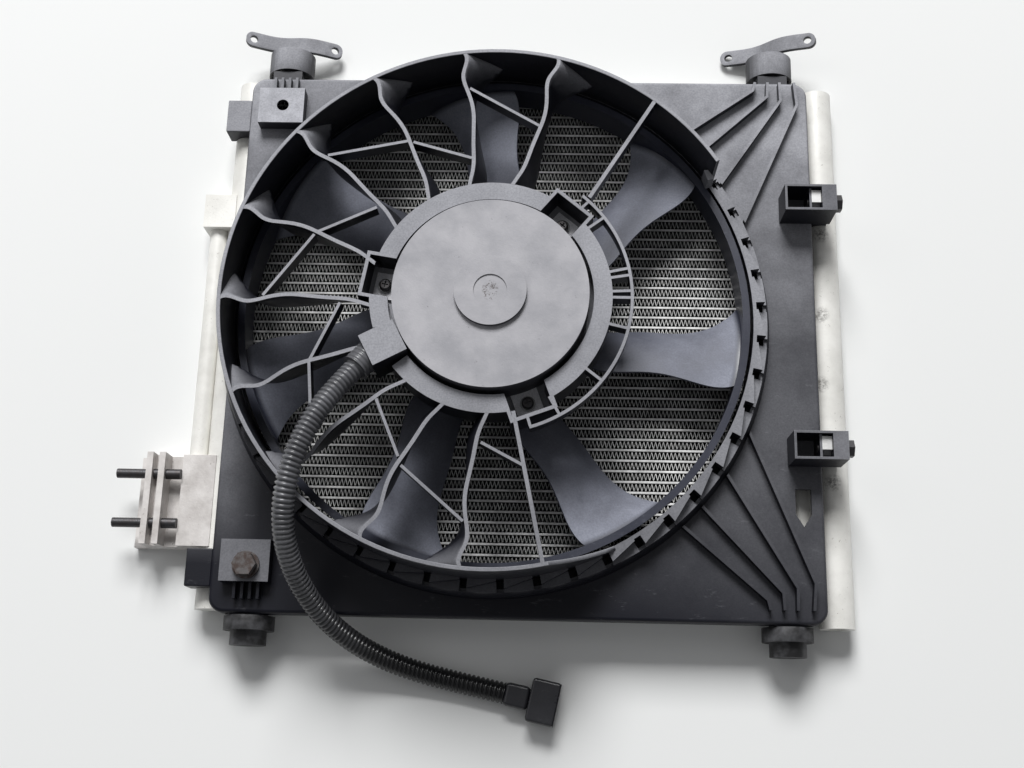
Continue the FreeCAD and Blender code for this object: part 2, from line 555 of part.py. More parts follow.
def plate_ribs():
    """Ribs on the plate: fans at the right corners, short ones beside the pads."""
    low = size("shroud_top_z") - size("shroud_wall") / 2
    high = size("shroud_top_z") + size("rib_high")
    thick = size("rib_thick")
    inset = size("edge_radius") + 0.4
    ring = size("bore_radius") + size("ring_base_out") - 1.5
    ribs = []
    for edge, side in ((size("shroud_top_y"), 1), (size("shroud_bottom_y"), -1)):
        for beside, drop, angle in CORNER_RIBS:
            x = size("pin_right_x") + beside
            bend = (x, edge - side * drop)
            at_ring = polar(ring, side * angle)
            ribs.append(wall((x - beside * 0.1, edge - side * inset), bend, thick, low, high))
            ribs.append(wall(bend, at_ring, thick, low, high))
            ribs.append(Part.makeCylinder(thick / 2, high - low, FreeCAD.Vector(*bend, low)))
    left = size("shroud_left_x") + size("pad_left_in")
    for i in range(4):
        x = left + size("pad_wide") * (0.3 + 0.16 * i)
        upper = size("shroud_top_y") - size("pad_top_in") - 1
        lower = size("shroud_bottom_y") + size("pad_bottom_in") + 1
        ribs.append(wall((x, upper), (x, size("shroud_top_y") - inset), thick, low, high))
        ribs.append(wall((x, lower), (x, size("shroud_bottom_y") + inset), thick, low, high))
    return joined(ribs)


def slot_tool():
    """The five-sided slot near the right edge."""
    x, y = size("slot_x"), size("slot_y")
    wide, deep, tip = size("slot_wide"), size("slot_deep"), size("slot_tip")
    points = [(x, y), (x + wide, y), (x + wide, y - deep), (x + wide / 2, y - deep - tip), (x, y - deep)]
    low = size("shroud_lift")
    return upright([FreeCAD.Vector(px, py, low) for px, py in points], size("shroud_top_z"))


bore = rod("bore_radius", "shroud_top_z + rib_high", "0", "0", "0")
shroud_solid = fuse(shroud_plate, *(pads + pins))
shroud_open = cut(shroud_solid, bore, pad_hole, pad_bolt_hole, *pad_hollows)
shroud_moulding = cut(shroud_open, shaped(slot_tool()))
ring_footprint = rod("bore_radius + ring_base_out", "rib_high + 1", "0", "0", "shroud_top_z")
node(shroud_moulding, "fan_shroud")
node(cut(shaped(plate_ribs()), ring_footprint, shroud_moulding), "shroud_ribs")


# Tunnel ring with its saw-teeth and notches
def ring_section(points):
    """A full ring from radius and height pairs."""
    face = Part.Face(outline([FreeCAD.Vector(r, 0, z) for r, z in points]))
    return face.revolve(FreeCAD.Vector(), FreeCAD.Vector(0, 0, 1), 360)


def tunnel_ring():
    inner = size("bore_radius")
    base = inner + size("ring_base_out")
    facet, facet_z = inner + size("ring_facet_out"), size("ring_facet_z")
    floor, skin = size("shroud_top_z"), size("ring_wall")
    skirt = ring_section([(inner, floor), (base, floor), (facet, facet_z), (inner, facet_z)])
    under = ring_section([(inner + skin, floor), (base - skin, floor), (facet - skin, facet_z - skin),
                          (inner + skin, facet_z - skin)])
    count = int(size("tooth_count"))
    step = 360.0 / count
    crown = []
    for i in range(count):
        start = size("tooth_angle") + i * step
        crown.append(polar((inner + size("ring_high_out")), start, facet_z))
        crown.append(polar((inner + size("ring_low_out")), start + step, facet_z))
    high = size("ring_top_z") - facet_z
    teeth = upright(crown, high).cut(Part.makeCylinder(inner, high, FreeCAD.Vector(0, 0, facet_z)))
    notch = Part.makeBox(
        (inner + size("ring_high_out")) + 1 - (inner + size("notch_out")), size("notch_width"), high + skin,
        FreeCAD.Vector((inner + size("notch_out")), -size("notch_width") / 2, facet_z - skin))
    notches = [turned(notch, size("tooth_angle") + i * step) for i in range(count)]
    return skirt.cut(under).fuse(teeth).cut(notches)


node(shaped(tunnel_ring()), "tunnel_ring")


# Stator rim over three quarters of the circle, with a ramp at one end
def stator_rim():
    inner = size("bore_radius")
    outer = inner + size("rim_wall")
    low, high = size("ring_top_z"), size("rim_top_z")
    start, end, foot = size("rim_from"), size("rim_to"), size("ramp_to")
    rim = sector(inner, outer, low, high, start, end)
    slope = sector(inner, outer, low, high, end, foot)
    near, far, above = inner * 0.8, outer * 1.2, high + 60
    cover = Part.makeLoft([
        outline([polar(near, end, high), polar(far, end, high), polar(far, end, above),
                 polar(near, end, above)]),
        outline([polar(near, foot, low), polar(far, foot, low), polar(far, foot, above),
                 polar(near, foot, above)])], True, True)
    return joined([rim, slope.cut(cover)])


node(shaped(stator_rim()), "stator_rim")


# Stator vanes: curved blades from the motor holder to the rim, with struts and braces
def vane():
    """The vane whose base angle is zero."""
    high = size("rim_top_z")
    low = high - size("vane_deep")
    half = size("vane_thick") / 2
    scale = (size("bore_radius") + 1 - size("holder_outer")) / (VANE_STATIONS[-1][0] - VANE_STATIONS[0][0])
    sections = []
    for radius, angle, lag in VANE_STATIONS:
        reach = size("holder_outer") - 0.5 + (radius - VANE_STATIONS[0][0]) * scale
        top = polar(reach, angle, high)
        foot = polar(reach, angle - lag, low)
        side = polar(half, angle + 90)
        sections.append(outline([top - side, top + side, foot + side, foot - side]))
    return Part.makeLoft(sections, True, False)


def stator_vanes():
    high = size("rim_top_z")
    thick = size("brace_thick")
    low = high - size("brace_deep")
    inner, outer = size("holder_outer"), size("bore_radius")
    pieces = [turned(vane(), size("vane_from") + i * size("vane_step")) for i in range(int(size("vane_count")))]
    for r1, a1, r2, a2 in VANE_BRACES:
        pieces.append(wall(polar(r1, a1), polar(r2, a2), thick, low, high))
    lower_strut = size("arc_from") - 5
    pieces.append(wall(polar(inner - 1, lower_strut), polar(outer + 1, lower_strut), size("vane_thick"),
                       low, high))
    pocket_end = polar(size("pocket_outer") + size("arc_wall") * 4, size("pocket_from") - 3)
    pieces.append(wall(pocket_end, polar(outer + 1, size("pocket_from") + 2.2), size("vane_thick"), low, high))
    body = pieces[0].fuse(pieces[1:])
    depth = size("vane_deep") + 2
    bottom = FreeCAD.Vector(0, 0, high - depth + 1)
    band = Part.makeCylinder(outer, depth, bottom).cut(Part.makeCylinder(inner, depth, bottom))
    return body.common(band)


# Motor holder: seat ring, walls, three screw pockets and the outer arc
def motor_holder():
    inner, outer = size("holder_inner"), size("holder_outer")
    skin = size("holder_wall")
    seat, high = size("seat_z"), size("rim_top_z")
    low = seat - size("seat_thick")
    seat_inner = size("housing_radius") + size("seat_clear")
    pocket_wide, pocket_outer = size("pocket_wide"), size("pocket_outer")
    solid = [
        sector(seat_inner, outer, low, seat, 0, 360),
        sector(outer - skin, outer, low, high, 0, 360),
        sector(inner, outer, high - skin, high, 0, 360)]
    hollow = []
    for i in range(3):
        angle = size("pocket_from") + 120 * i
        block = Part.makeBox(pocket_outer - inner, pocket_wide, high - low,
                             FreeCAD.Vector(inner, -pocket_wide / 2, low))
        room = Part.makeBox(pocket_outer - inner, pocket_wide - 2 * skin, high - seat + 1,
                            FreeCAD.Vector(inner - skin, -pocket_wide / 2 + skin, seat))
        solid.append(turned(block, angle))
        hollow.append(turned(room, angle))
        screw = Part.makeCylinder(size("screw_radius") + size("fit_gap"), seat - low + 2,
                                  polar(size("screw_circle"), angle, low - 1))
        hollow.append(screw)
    hollow.append(Part.makeCylinder(inner, high - seat + 1, FreeCAD.Vector(0, 0, seat)))
    hollow.append(sector(inner - 1, outer + 10, seat, high + 1, size("gap_from"), size("gap_to")))
    ring = solid[0].fuse(solid[1:]).cut(hollow)
    arc_low = high - size("arc_deep")
    arc_in = size("arc_radius") - size("arc_wall") / 2
    arc_out = size("arc_radius") + size("arc_wall") / 2
    extras = [sector(arc_in, arc_out, arc_low, high, size("arc_from"), size("arc_to"))]
    for angle in (37, 12.5, 9.5, 2.7, -0.3, -13.5, -38, -60):
        extras.append(wall(polar(outer - skin / 2, angle), polar(arc_in + 0.5, angle), size("rib_thick"),
                           arc_low, high))
    for angle in (size("pocket_from") - 4, size("pocket_from") - 116 - 7):
        extras.append(wall(polar(pocket_outer - 1, angle), polar(arc_in + 0.5, angle), size("rib_thick"),
                           arc_low, high))
    return ring.fuse(extras)


def outlet_block(gap=0.0):
    """The body of the cable outlet beside the motor, grown by a gap if asked."""
    inner, outer = size("outlet_inner"), size("outlet_outer")
    return radial_box(inner - gap, outer - inner + 2 * gap, size("outlet_wide") + 2 * gap, size("seat_z"),
                      size("outlet_top_z") - size("seat_z"), size("outlet_angle"))


def outlet_spigot(gap=0.0):
    """The round spigot along the conduit's first run, grown by a gap if asked."""
    root = FreeCAD.Vector(*SPIGOT_ROOT)
    end = FreeCAD.Vector(*CONDUIT_ROUTE[0])
    return Part.makeCylinder(size("spigot_radius") + gap, (end - root).Length + gap, root, end - root)


holder_shape = motor_holder()
outlet_room = [outlet_block(size("seat_gap")), outlet_spigot(size("seat_gap"))]
node(shaped(stator_vanes().cut([holder_shape] + outlet_room)), "stator_vanes")
node(shaped(holder_shape), "motor_holder")

# Motor: pressed can above, end plate with its lugs below
END_TOP_Z = "(seat_z + flange_plate)"
BEARING_TOP_Z = "(can_top_z + boss_rise - can_wall)"
can_outer = rod("can_radius", "can_top_z - %s" % END_TOP_Z, "0", "0", END_TOP_Z)
can_boss = rod("boss_radius", "boss_rise", "0", "0", "can_top_z")
can_inner = rod("can_radius - can_wall", "can_top_z - can_wall - %s" % END_TOP_Z, "0", "0", END_TOP_Z)
hub_ring = rod("bearing_radius + hub_ring_wall", "bearing_width - boss_rise", "0", "0",
               "%s - bearing_width" % BEARING_TOP_Z)
bearing_room = rod("bearing_radius + fit_gap", "bearing_width", "0", "0", "%s - bearing_width" % BEARING_TOP_Z)
recess = rod("recess_radius", "recess_deep + 1", "0", "0", "can_top_z + boss_rise - recess_deep")
node(cut(fuse(cut(fuse(can_outer, can_boss), can_inner), hub_ring), bearing_room, recess), "motor_cover")


def lug(index):
    """One lug of the end plate with its screw hole."""
    angle = size("pocket_from") + 120 * index
    inner = size("housing_radius")
    reach = size("lug_reach") - inner
    half = size("lug_wide") / 2
    body = Part.makeBox(reach, 2 * half, size("flange_plate"), FreeCAD.Vector(inner, -half, size("seat_z")))
    return turned(body, angle)


def end_plate():
    seat, plate, skin = size("seat_z"), size("flange_plate"), size("can_wall")
    radius, bottom = size("housing_radius"), size("housing_bottom_z")
    flange = Part.makeCylinder(size("can_radius"), plate, FreeCAD.Vector(0, 0, seat))
    cup = Part.makeCylinder(radius, seat - bottom, FreeCAD.Vector(0, 0, bottom))
    room = Part.makeCylinder(radius - skin, seat + plate - bottom, FreeCAD.Vector(0, 0, bottom + skin))
    shell = flange.fuse([cup] + [lug(i) for i in range(3)]).cut(room)
    hub_radius = size("bearing_radius") + size("hub_ring_wall")
    hub = Part.makeCylinder(hub_radius, size("bearing_width"), FreeCAD.Vector(0, 0, bottom + skin))
    bearing = Part.makeCylinder(size("bearing_radius") + size("fit_gap"), size("bearing_width"),
                                FreeCAD.Vector(0, 0, bottom + skin))
    shaft_hole = Part.makeCylinder(size("shaft_radius") + 1, skin, FreeCAD.Vector(0, 0, bottom))
    holes = [
        Part.makeCylinder(size("screw_radius") + size("fit_gap"), plate,
                          polar(size("screw_circle"), size("pocket_from") + 120 * i, seat))
        for i in range(3)]
    return shell.fuse(hub).cut([bearing, shaft_hole] + holes)


node(shaped(end_plate()), "motor_end_plate")


def screw_ring(shape):
    """Three copies at the screw pockets."""
    return Part.makeCompound([
        turned(moved(shape, size("screw_circle"), 0, 0), size("pocket_from") + 120 * i) for i in range(3)])


def motor_screw():
    """A pan-head screw with a cross recess, through the lug and the seat."""
    low = size("seat_z") + size("flange_plate") + size("washer_thick")
    head = Part.makeCylinder(size("screw_head"), size("screw_head_high"), FreeCAD.Vector(0, 0, low))
    rim = [edge for edge in head.Edges if edge.BoundBox.ZMin > low + 0.1 and edge.Length > 5]
    head = head.makeFillet(size("screw_head_high") * 0.4, rim[:1])
    shank = Part.makeCylinder(size("screw_radius"), size("screw_length"),
                              FreeCAD.Vector(0, 0, low - size("screw_length")))
    reach, slot = size("screw_head") * 1.1, size("screw_head") * 0.24
    top = low + size("screw_head_high") - 1.4
    cross = Part.makeBox(reach, slot, 2, FreeCAD.Vector(-reach / 2, -slot / 2, top)).fuse(
        Part.makeBox(slot, reach, 2, FreeCAD.Vector(-slot / 2, -reach / 2, top)))
    return head.fuse(shank).cut(cross)


def motor_washer():
    low = size("seat_z") + size("flange_plate")
    disc = Part.makeCylinder(size("washer_radius"), size("washer_thick"), FreeCAD.Vector(0, 0, low))
    return disc.cut(Part.makeCylinder(size("screw_radius") + size("fit_gap"), size("washer_thick"),
                                      FreeCAD.Vector(0, 0, low)))


node(shaped(screw_ring(motor_screw())), "motor_screws")
node(shaped(screw_ring(motor_washer())), "motor_washers")

# Bearings and rotating parts of the motor
SHAFT_TOP_Z = "(%s - seat_gap)" % BEARING_TOP_Z
node(rod("shaft_radius", "%s - shaft_bottom_z" % SHAFT_TOP_Z, "0", "0", "shaft_bottom_z"), "motor_shaft")


def ring(inner, outer, low, high):
    """An upright ring bound to the sheet."""
    return cut(rod(outer, "%s - (%s)" % (high, low), "0", "0", low),
               rod(inner, "%s - (%s)" % (high, low), "0", "0", low))


node(ring("shaft_radius + fit_gap", "bearing_radius", "%s - bearing_width" % BEARING_TOP_Z,
          BEARING_TOP_Z), "bearing_upper")
node(ring("shaft_radius + fit_gap", "bearing_radius", "housing_bottom_z + can_wall",
          "(housing_bottom_z + can_wall + bearing_width)"), "bearing_lower")
node(ring("shaft_radius + fit_gap", "core_radius", "armature_low_z", "armature_high_z"), "armature_core")
node(group(ring("winding_inner", "winding_outer", "armature_high_z", "(armature_high_z + winding_high)"),
           ring("winding_inner", "winding_outer", "armature_low_z - winding_high", "armature_low_z")),
     "armature_winding")
node(ring("shaft_radius + fit_gap", "comm_radius", "comm_low_z", "armature_low_z"), "commutator")


def magnets():
    outer = size("can_radius") - size("can_wall") - size("fit_gap")
    half = size("magnet_span") / 2
    return Part.makeCompound([
        sector(size("core_radius") + size("air_gap"), outer, size("magnet_low_z"), size("magnet_high_z"),
               90 * i - half, 90 * i + half) for i in range(4)])


node(shaped(magnets()), "magnets")


def brush_card():
    low, thick = size("card_low_z"), size("card_thick")
    outer = size("housing_radius") - size("can_wall") - size("fit_gap")
    inner = size("comm_radius") + 1.5
    card = sector(inner, outer, low, low + thick, 0, 360)
    stop_at = size("comm_radius") + size("fit_gap") + size("brush_long") + size("spring_long") + size("fit_gap")
    stops = [
        radial_box(stop_at, size("stop_thick"), size("brush_wide"), low + thick, size("brush_high"), angle)
        for angle in (0, 180)]
    return card.fuse(stops)


node(shaped(brush_card()), "brush_card")
BRUSH_LOW = size("card_low_z") + size("card_thick")
BRUSH_IN = size("comm_radius") + size("fit_gap")
brushes = [
    radial_box(BRUSH_IN, size("brush_long"), size("brush_wide"), BRUSH_LOW, size("brush_high"), angle)
    for angle in (0, 180)]
node(shaped(Part.makeCompound(brushes)), "brushes")
springs = [
    turned(Part.makeCylinder(size("spring_radius"), size("spring_long"),
                             FreeCAD.Vector(BRUSH_IN + size("brush_long"), 0, BRUSH_LOW + size("brush_high") / 2),
                             FreeCAD.Vector(1, 0, 0)), angle)
    for angle in (0, 180)]
node(shaped(Part.makeCompound(springs)), "brush_springs")


# Fan: hub, curved blades and band in one moulding
def blade():
    """The blade at the right, from the hub's wall into the band's wall."""
    low, high = size("blade_low_z"), size("blade_high_z")
    half, camber = size("blade_thick") / 2, size("blade_camber")
    first, last = BLADE_STATIONS[0][0], BLADE_STATIONS[-1][0]
    root = size("hub_radius") - size("hub_wall") * 0.55
    tip = size("band_inner") + size("band_wall") * 0.5
    sections = []
    for radius, lead, trail in BLADE_STATIONS:
        reach = root + (radius - first) * (tip - root) / (last - first)
        middle = (lead + trail) / 2
        out = polar(1, middle)
        along = polar(1, middle + 90)
        spread = reach * math.tan(math.radians((lead - trail) / 2))
        slope = math.atan2(high - low, -2 * spread)
        rise = FreeCAD.Vector(0, 0, 1)
        upper = []
        lower = []
        for step in range(5):
            share = step / 4
            bow = camber * 4 * share * (1 - share)
            centre = out * reach + along * (spread * (1 - 2 * share)) + rise * (low + (high - low) * share)
            normal = along * math.sin(slope) - rise * math.cos(slope)
            depth = half * (0.45 + 0.55 * math.sin(math.pi * min(1, share * 0.8 + 0.2)))
            upper.append(centre + normal * (bow + depth))
            lower.append(centre + normal * (bow - depth))
        top_edge = Part.BSplineCurve()
        top_edge.interpolate(upper)
        low_edge = Part.BSplineCurve()
        low_edge.interpolate(lower)
        sections.append(Part.Wire([
            top_edge.toShape(), Part.makeLine(upper[-1], lower[-1]), low_edge.toShape(),
            Part.makeLine(lower[0], upper[0])]))
    return Part.makeLoft(sections, True, False)


def fan_rotor():
    hub_r, hub_skin = size("hub_radius"), size("hub_wall")
    hub_low, hub_high = size("hub_low_z"), size("hub_high_z")
    boss_low = size("hub_boss_low_z")
    hub = sector(hub_r - hub_skin, hub_r, hub_low, hub_high, 0, 360)
    web = sector(size("shaft_radius") + size("fit_gap"), hub_r - hub_skin / 2, hub_high - hub_skin, hub_high,
                 0, 360)
    boss = sector(size("shaft_radius") + size("fit_gap"), size("hub_boss_radius"), boss_low,
                  hub_high - hub_skin / 2, 0, 360)
    band_section = [
        (size("band_inner") + size("band_wall"), size("band_low_z")),
        (size("band_inner"), size("band_low_z") + size("band_wall")),
        (size("band_inner"), size("band_high_z")),
        (size("band_outer"), size("band_high_z")),
        (size("band_outer"), size("band_high_z") - size("band_wall")),
        (size("band_inner") + size("band_wall"), size("band_high_z") - size("band_wall"))]
    band = ring_section(band_section)
    stiffeners = [
        wall(polar(size("hub_boss_radius") - 1, 360 / 7 * i), polar(hub_r - hub_skin / 2, 360 / 7 * i),
             hub_skin * 0.7, (boss_low + hub_high) / 2, hub_high - hub_skin / 2) for i in range(7)]
    blades = [turned(blade(), 360.0 / size("blade_count") * i) for i in range(int(size("blade_count")))]
    return hub.fuse([web, boss, band] + stiffeners + blades)


node(shaped(fan_rotor()), "fan_rotor")
nut = prism(6, "nut_flat", "nut_high", "0", "0", "hub_boss_low_z - nut_high")
node(cut(nut, rod("shaft_radius + fit_gap", "nut_high", "0", "0", "hub_boss_low_z - nut_high")), "fan_nut")


# Upper brackets: a cup round the bush, a web and a bar with two ear holes
def upper_foot():
    """The outer face of the upper pins' feet, past the side plate and the header's cap."""
    plate = size("tube_top_y") + size("tube_pitch") - size("tube_thick") / 2 + size("plate_thick")
    return plate + size("header_over") + size("cap_thick") + size("seat_gap") + size("foot_thick")


def bent_bar(half, reach, thick, start_y, wide):
    """The bar is bent twice: its two ears are parallel, and the middle between them leans."""
    slope, bend = math.tan(math.radians(size("ear_slope"))), size("bar_bend")
    middle = slope * (half - bend)
    right = [(bend * 0.55, middle * 0.6), (bend * 1.25, middle * 0.9), (half, 0),
             (reach, -slope * (reach - half))]
    knots = [(-x, -z) for x, z in reversed(right)] + [(0, 0)] + right
    sides = []
    for offset in (thick / 2, -thick / 2):
        line = Part.BSplineCurve()
        line.interpolate([FreeCAD.Vector(x, start_y, z + offset) for x, z in knots])
        sides.append(line.toShape())
    ends = [Part.makeLine(FreeCAD.Vector(x, start_y, z + thick / 2), FreeCAD.Vector(x, start_y, z - thick / 2))
            for x, z in (knots[0], knots[-1])]
    profile = Part.Face(Part.Wire(Part.__sortEdges__(sides + ends)))
    return profile.extrude(FreeCAD.Vector(0, wide, 0))


def bracket(pin_x, tilt, name):
    """Drawn with its bar level about the pin, then tilted by Placement."""
    start = upper_foot() + size("cup_gap")
    radius, skin, deep = size("cup_radius"), size("cup_wall"), size("cup_deep")
    y_axis = FreeCAD.Vector(0, 1, 0)
    cup = Part.makeCylinder(radius, deep, FreeCAD.Vector(0, start, 0), y_axis)
    room = Part.makeCylinder(radius - skin, deep - skin, FreeCAD.Vector(0, start, 0), y_axis)
    web_end = start + deep + size("web_long")
    web = Part.makeBox(size("web_wide"), size("web_long") + 2, size("web_thick"),
                       FreeCAD.Vector(-size("web_wide") / 2, start + deep - 1, -size("web_thick") / 2))
    half = size("ear_spacing") / 2
    wide, thick = size("ear_wide"), size("ear_thick")
    reach = half + size("ear_end")
    depth = size("bar_bend") * 2
    plan = Part.makeBox(2 * reach, wide, 2 * depth, FreeCAD.Vector(-reach, web_end, -depth))
    corners = [edge for edge in plan.Edges if abs(edge.Vertexes[0].Z - edge.Vertexes[1].Z) > depth]
    bar = bent_bar(half, reach, thick, web_end, wide).common(plan.makeFillet(wide * 0.45, corners))
    slope = math.radians(size("ear_slope"))
    lean = FreeCAD.Vector(math.sin(slope), 0, math.cos(slope))
    holes = [
        Part.makeCylinder(size("ear_hole"), thick + 4,
                          FreeCAD.Vector(x, web_end + wide / 2, 0) - lean * (thick / 2 + 2), lean)
        for x in (-half, half)]
    body = cup.cut(room).fuse([web, bar]).cut(holes)
    return tilted(body, pin_x, tilt, name)


def tilted(shape, pin_x, tilt, name):
    """Turn a piece about its pin's axis and put it on the pin."""
    shape.rotate(FreeCAD.Vector(), FreeCAD.Vector(0, 1, 0), size(tilt))
    return node(shaped(moved(shape, size(pin_x), 0, size("pin_z"))), name)


def upper_bush(pin_x, tilt, name):
    """Rubber between cup and pin, with four ribs in its open end."""
    foot = upper_foot()
    start = foot + size("cup_gap") + size("bush_recess")
    y_axis = FreeCAD.Vector(0, 1, 0)
    length = foot + size("cup_gap") + size("cup_deep") - size("cup_wall") - start - size("fit_gap")
    outer = size("cup_radius") - size("cup_wall") - size("fit_gap")
    body = Part.makeCylinder(outer, length, FreeCAD.Vector(0, start, 0), y_axis)
    pin = Part.makeCylinder(size("pin_radius") + size("fit_gap"), size("pin_length"),
                            FreeCAD.Vector(0, foot, 0), y_axis)
    return tilted(body.cut(pin), pin_x, tilt, name)


for side in ("left", "right"):
    bracket("pin_%s_x" % side, "%s_tilt" % side, "top_bracket_%s" % side)
    upper_bush("pin_%s_x" % side, "%s_tilt" % side, "top_bush_%s" % side)

# Lower bushes: rubber with a flange and a nose that seats in the vehicle's frame
bushes = []
for pin_x in ("pin_left_x", "pin_right_x"):
    bush_start = "(%s - foot_thick - seat_gap)" % FOOT_BOTTOM_Y
    flange = rod("bush_flange_radius", "bush_flange_long", pin_x, bush_start + " - bush_flange_long",
                 "pin_z", ALONG_Y)
    nose = rod("bush_radius", "bush_nose", pin_x, bush_start + " - bush_flange_long - bush_nose", "pin_z",
               ALONG_Y)
    pin_room = rod("pin_radius + fit_gap", "pin_length", pin_x, bush_start + " - pin_length", "pin_z",
                   ALONG_Y)
    bushes.append(cut(fuse(flange, nose), pin_room))
node(group(*bushes), "bottom_bushes")

# Clamp blocks that hold the left header to the shroud
clamps = [
    box("shroud_left_x - clamp_wide", y + " - clamp_long / 2", "clamp_low_z", "clamp_wide", "clamp_long",
        "clamp_top_z - clamp_low_z")
    for y in ("clamp_upper_y", "clamp_lower_y")]
node(cut(group(*clamps), header_body("header_left_x")), "header_clamps")


# Clip brackets at the right: an open box on the plate, a thick end and a strap on the receiver
def clip_bracket(middle, name):
    low_y = "%s - clip_long / 2" % middle
    high = "clip_top_z - shroud_top_z"
    shell = box("clip_left_x", low_y, "shroud_top_z", "clip_end_x - clip_left_x", "clip_long", high)
    room = box("clip_left_x + clip_wall", low_y + " + clip_wall", "shroud_top_z + clip_wall",
               "clip_end_x - clip_left_x - clip_wall", "clip_long - 2 * clip_wall", high)
    partition = box("clip_partition_x", low_y, "shroud_top_z", "clip_wall", "clip_long", high + " - 4")
    end = box("clip_end_x", low_y, "shroud_top_z", "clip_end_thick", "clip_long", high)
    strap = box("shroud_right_x + seat_gap", "%s - strap_wide / 2" % middle, "strap_low_z",
                "clip_end_x + clip_end_thick - shroud_right_x - seat_gap", "strap_wide",
                "shroud_top_z - strap_low_z + 1")
    tool = rod("receiver_radius + fit_gap", "strap_wide + 2", RECEIVER_X, "%s - strap_wide / 2 - 1" % middle,
               HEADER_Z, ALONG_Y)
    hole = rod("clip_bolt_radius + fit_gap", "clip_end_thick + clip_end_x - clip_partition_x",
               "clip_partition_x", middle, "clip_bolt_z", ALONG_X)
    body = cut(fuse(cut(shell, room), partition, end, strap), tool, hole)
    return node(body, name)


CLIP_OUT_X = "(clip_end_x + clip_end_thick)"
clip_bolts = []
clip_nuts = []
for clip_y, clip_name in (("clip_upper_y", "clip_bracket_upper"), ("clip_lower_y", "clip_bracket_lower")):
    clip_bracket(clip_y, clip_name)
    shank = rod("clip_bolt_radius", "clip_bolt_long", CLIP_OUT_X + " - clip_bolt_long", clip_y,
                "clip_bolt_z", ALONG_X)
    head = prism(6, "clip_head_flat", "clip_head_high", CLIP_OUT_X, clip_y, "clip_bolt_z", ALONG_X)
    clip_bolts.append(fuse(shank, head))
    nut_body = prism(6, "clip_head_flat", "clip_nut_high", "clip_end_x - clip_nut_high", clip_y,
                     "clip_bolt_z", ALONG_X)
    nut_hole = rod("clip_bolt_radius + fit_gap", "clip_nut_high", "clip_end_x - clip_nut_high", clip_y,
                   "clip_bolt_z", ALONG_X)
    clip_nuts.append(cut(nut_body, nut_hole))
node(group(*clip_bolts), "clip_bolts")
node(group(*clip_nuts), "clip_nuts")

# Flange bolt in the lower pad, with its nut under the pad
pad_flange = rod("pad_bolt_flange", "pad_flange_high", "pad_bolt_x", PAD_BOLT_Y, PAD_TOP_Z)
pad_head = prism(6, "pad_bolt_flat", "pad_head_high", "pad_bolt_x", PAD_BOLT_Y,
                 "%s + pad_flange_high" % PAD_TOP_Z)
pad_shank = rod("pad_bolt_radius", "pad_bolt_long", "pad_bolt_x", PAD_BOLT_Y,
                "%s - pad_bolt_long" % PAD_TOP_Z)
node(fuse(pad_flange, pad_head, pad_shank), "pad_bolt")
PAD_NUT_Z = "%s - shroud_wall - pad_nut_high" % PAD_TOP_Z
node(cut(prism(6, "pad_bolt_flat", "pad_nut_high", "pad_bolt_x", PAD_BOLT_Y, PAD_NUT_Z),
         rod("pad_bolt_radius + fit_gap", "pad_nut_high", "pad_bolt_x", PAD_BOLT_Y, PAD_NUT_Z)), "pad_nut")


# Cable outlet beside the motor, its spigot along the conduit's first run
node(shaped(outlet_block().fuse(outlet_spigot())), "cable_outlet")


def route_wire(points):
    """Straight runs joined by tangent arcs, each arc as large as its two runs allow."""
    points = [FreeCAD.Vector(*point) for point in points]
    edges = []
    start = points[0]
    radii = []
    for before, corner, after in zip(points, points[1:], points[2:]):
        arriving = corner - before
        leaving = after - corner
        reach = 0.45 * min(arriving.Length, leaving.Length)
        half_turn = arriving.getAngle(leaving) / 2
        radii.append(reach / math.tan(half_turn))
        arriving.normalize()
        leaving.normalize()
        first = corner - arriving * reach
        last = corner + leaving * reach
        to_middle = (leaving - arriving).normalize()
        centre = corner + to_middle * (radii[-1] / math.cos(half_turn))
        middle = centre - to_middle * radii[-1]
        edges.append(Part.makeLine(start, first))
        edges.append(Part.Arc(first, middle, last).toShape())
        start = last
    edges.append(Part.makeLine(start, points[-1]))
    print("conduit arc radii:", " ".join("%.0f" % radius for radius in radii))
    return Part.Wire(edges)


def conduit():
    wire = route_wire(CONDUIT_ROUTE)
    first = wire.Edges[0]
    section = Part.Wire(Part.makeCircle(size("conduit_radius"), first.valueAt(first.FirstParameter),
                                        first.tangentAt(first.FirstParameter)))
    tube = wire.makePipeShell([section], True, True)
    expected = math.pi * size("conduit_radius") ** 2 * wire.Length
    print("conduit length %.1f, volume over section times length %.4f" % (wire.Length, tube.Volume / expected))
    return tube


node(shaped(conduit()), "conduit")


# Connector on the conduit's end, lying on the floor
def on_plug(shape):
    """Turn a piece to the conduit's last run and put it at its end."""
    shape.rotate(FreeCAD.Vector(), FreeCAD.Vector(0, 0, 1), size("plug_turn"))
    end = CONDUIT_ROUTE[-1]
    return shaped(moved(shape, end[0], end[1], -size("front_z")))


def plug_box(start, length, wide, low, high):
    return Part.makeBox(length, wide, high, FreeCAD.Vector(start, -wide / 2, low))


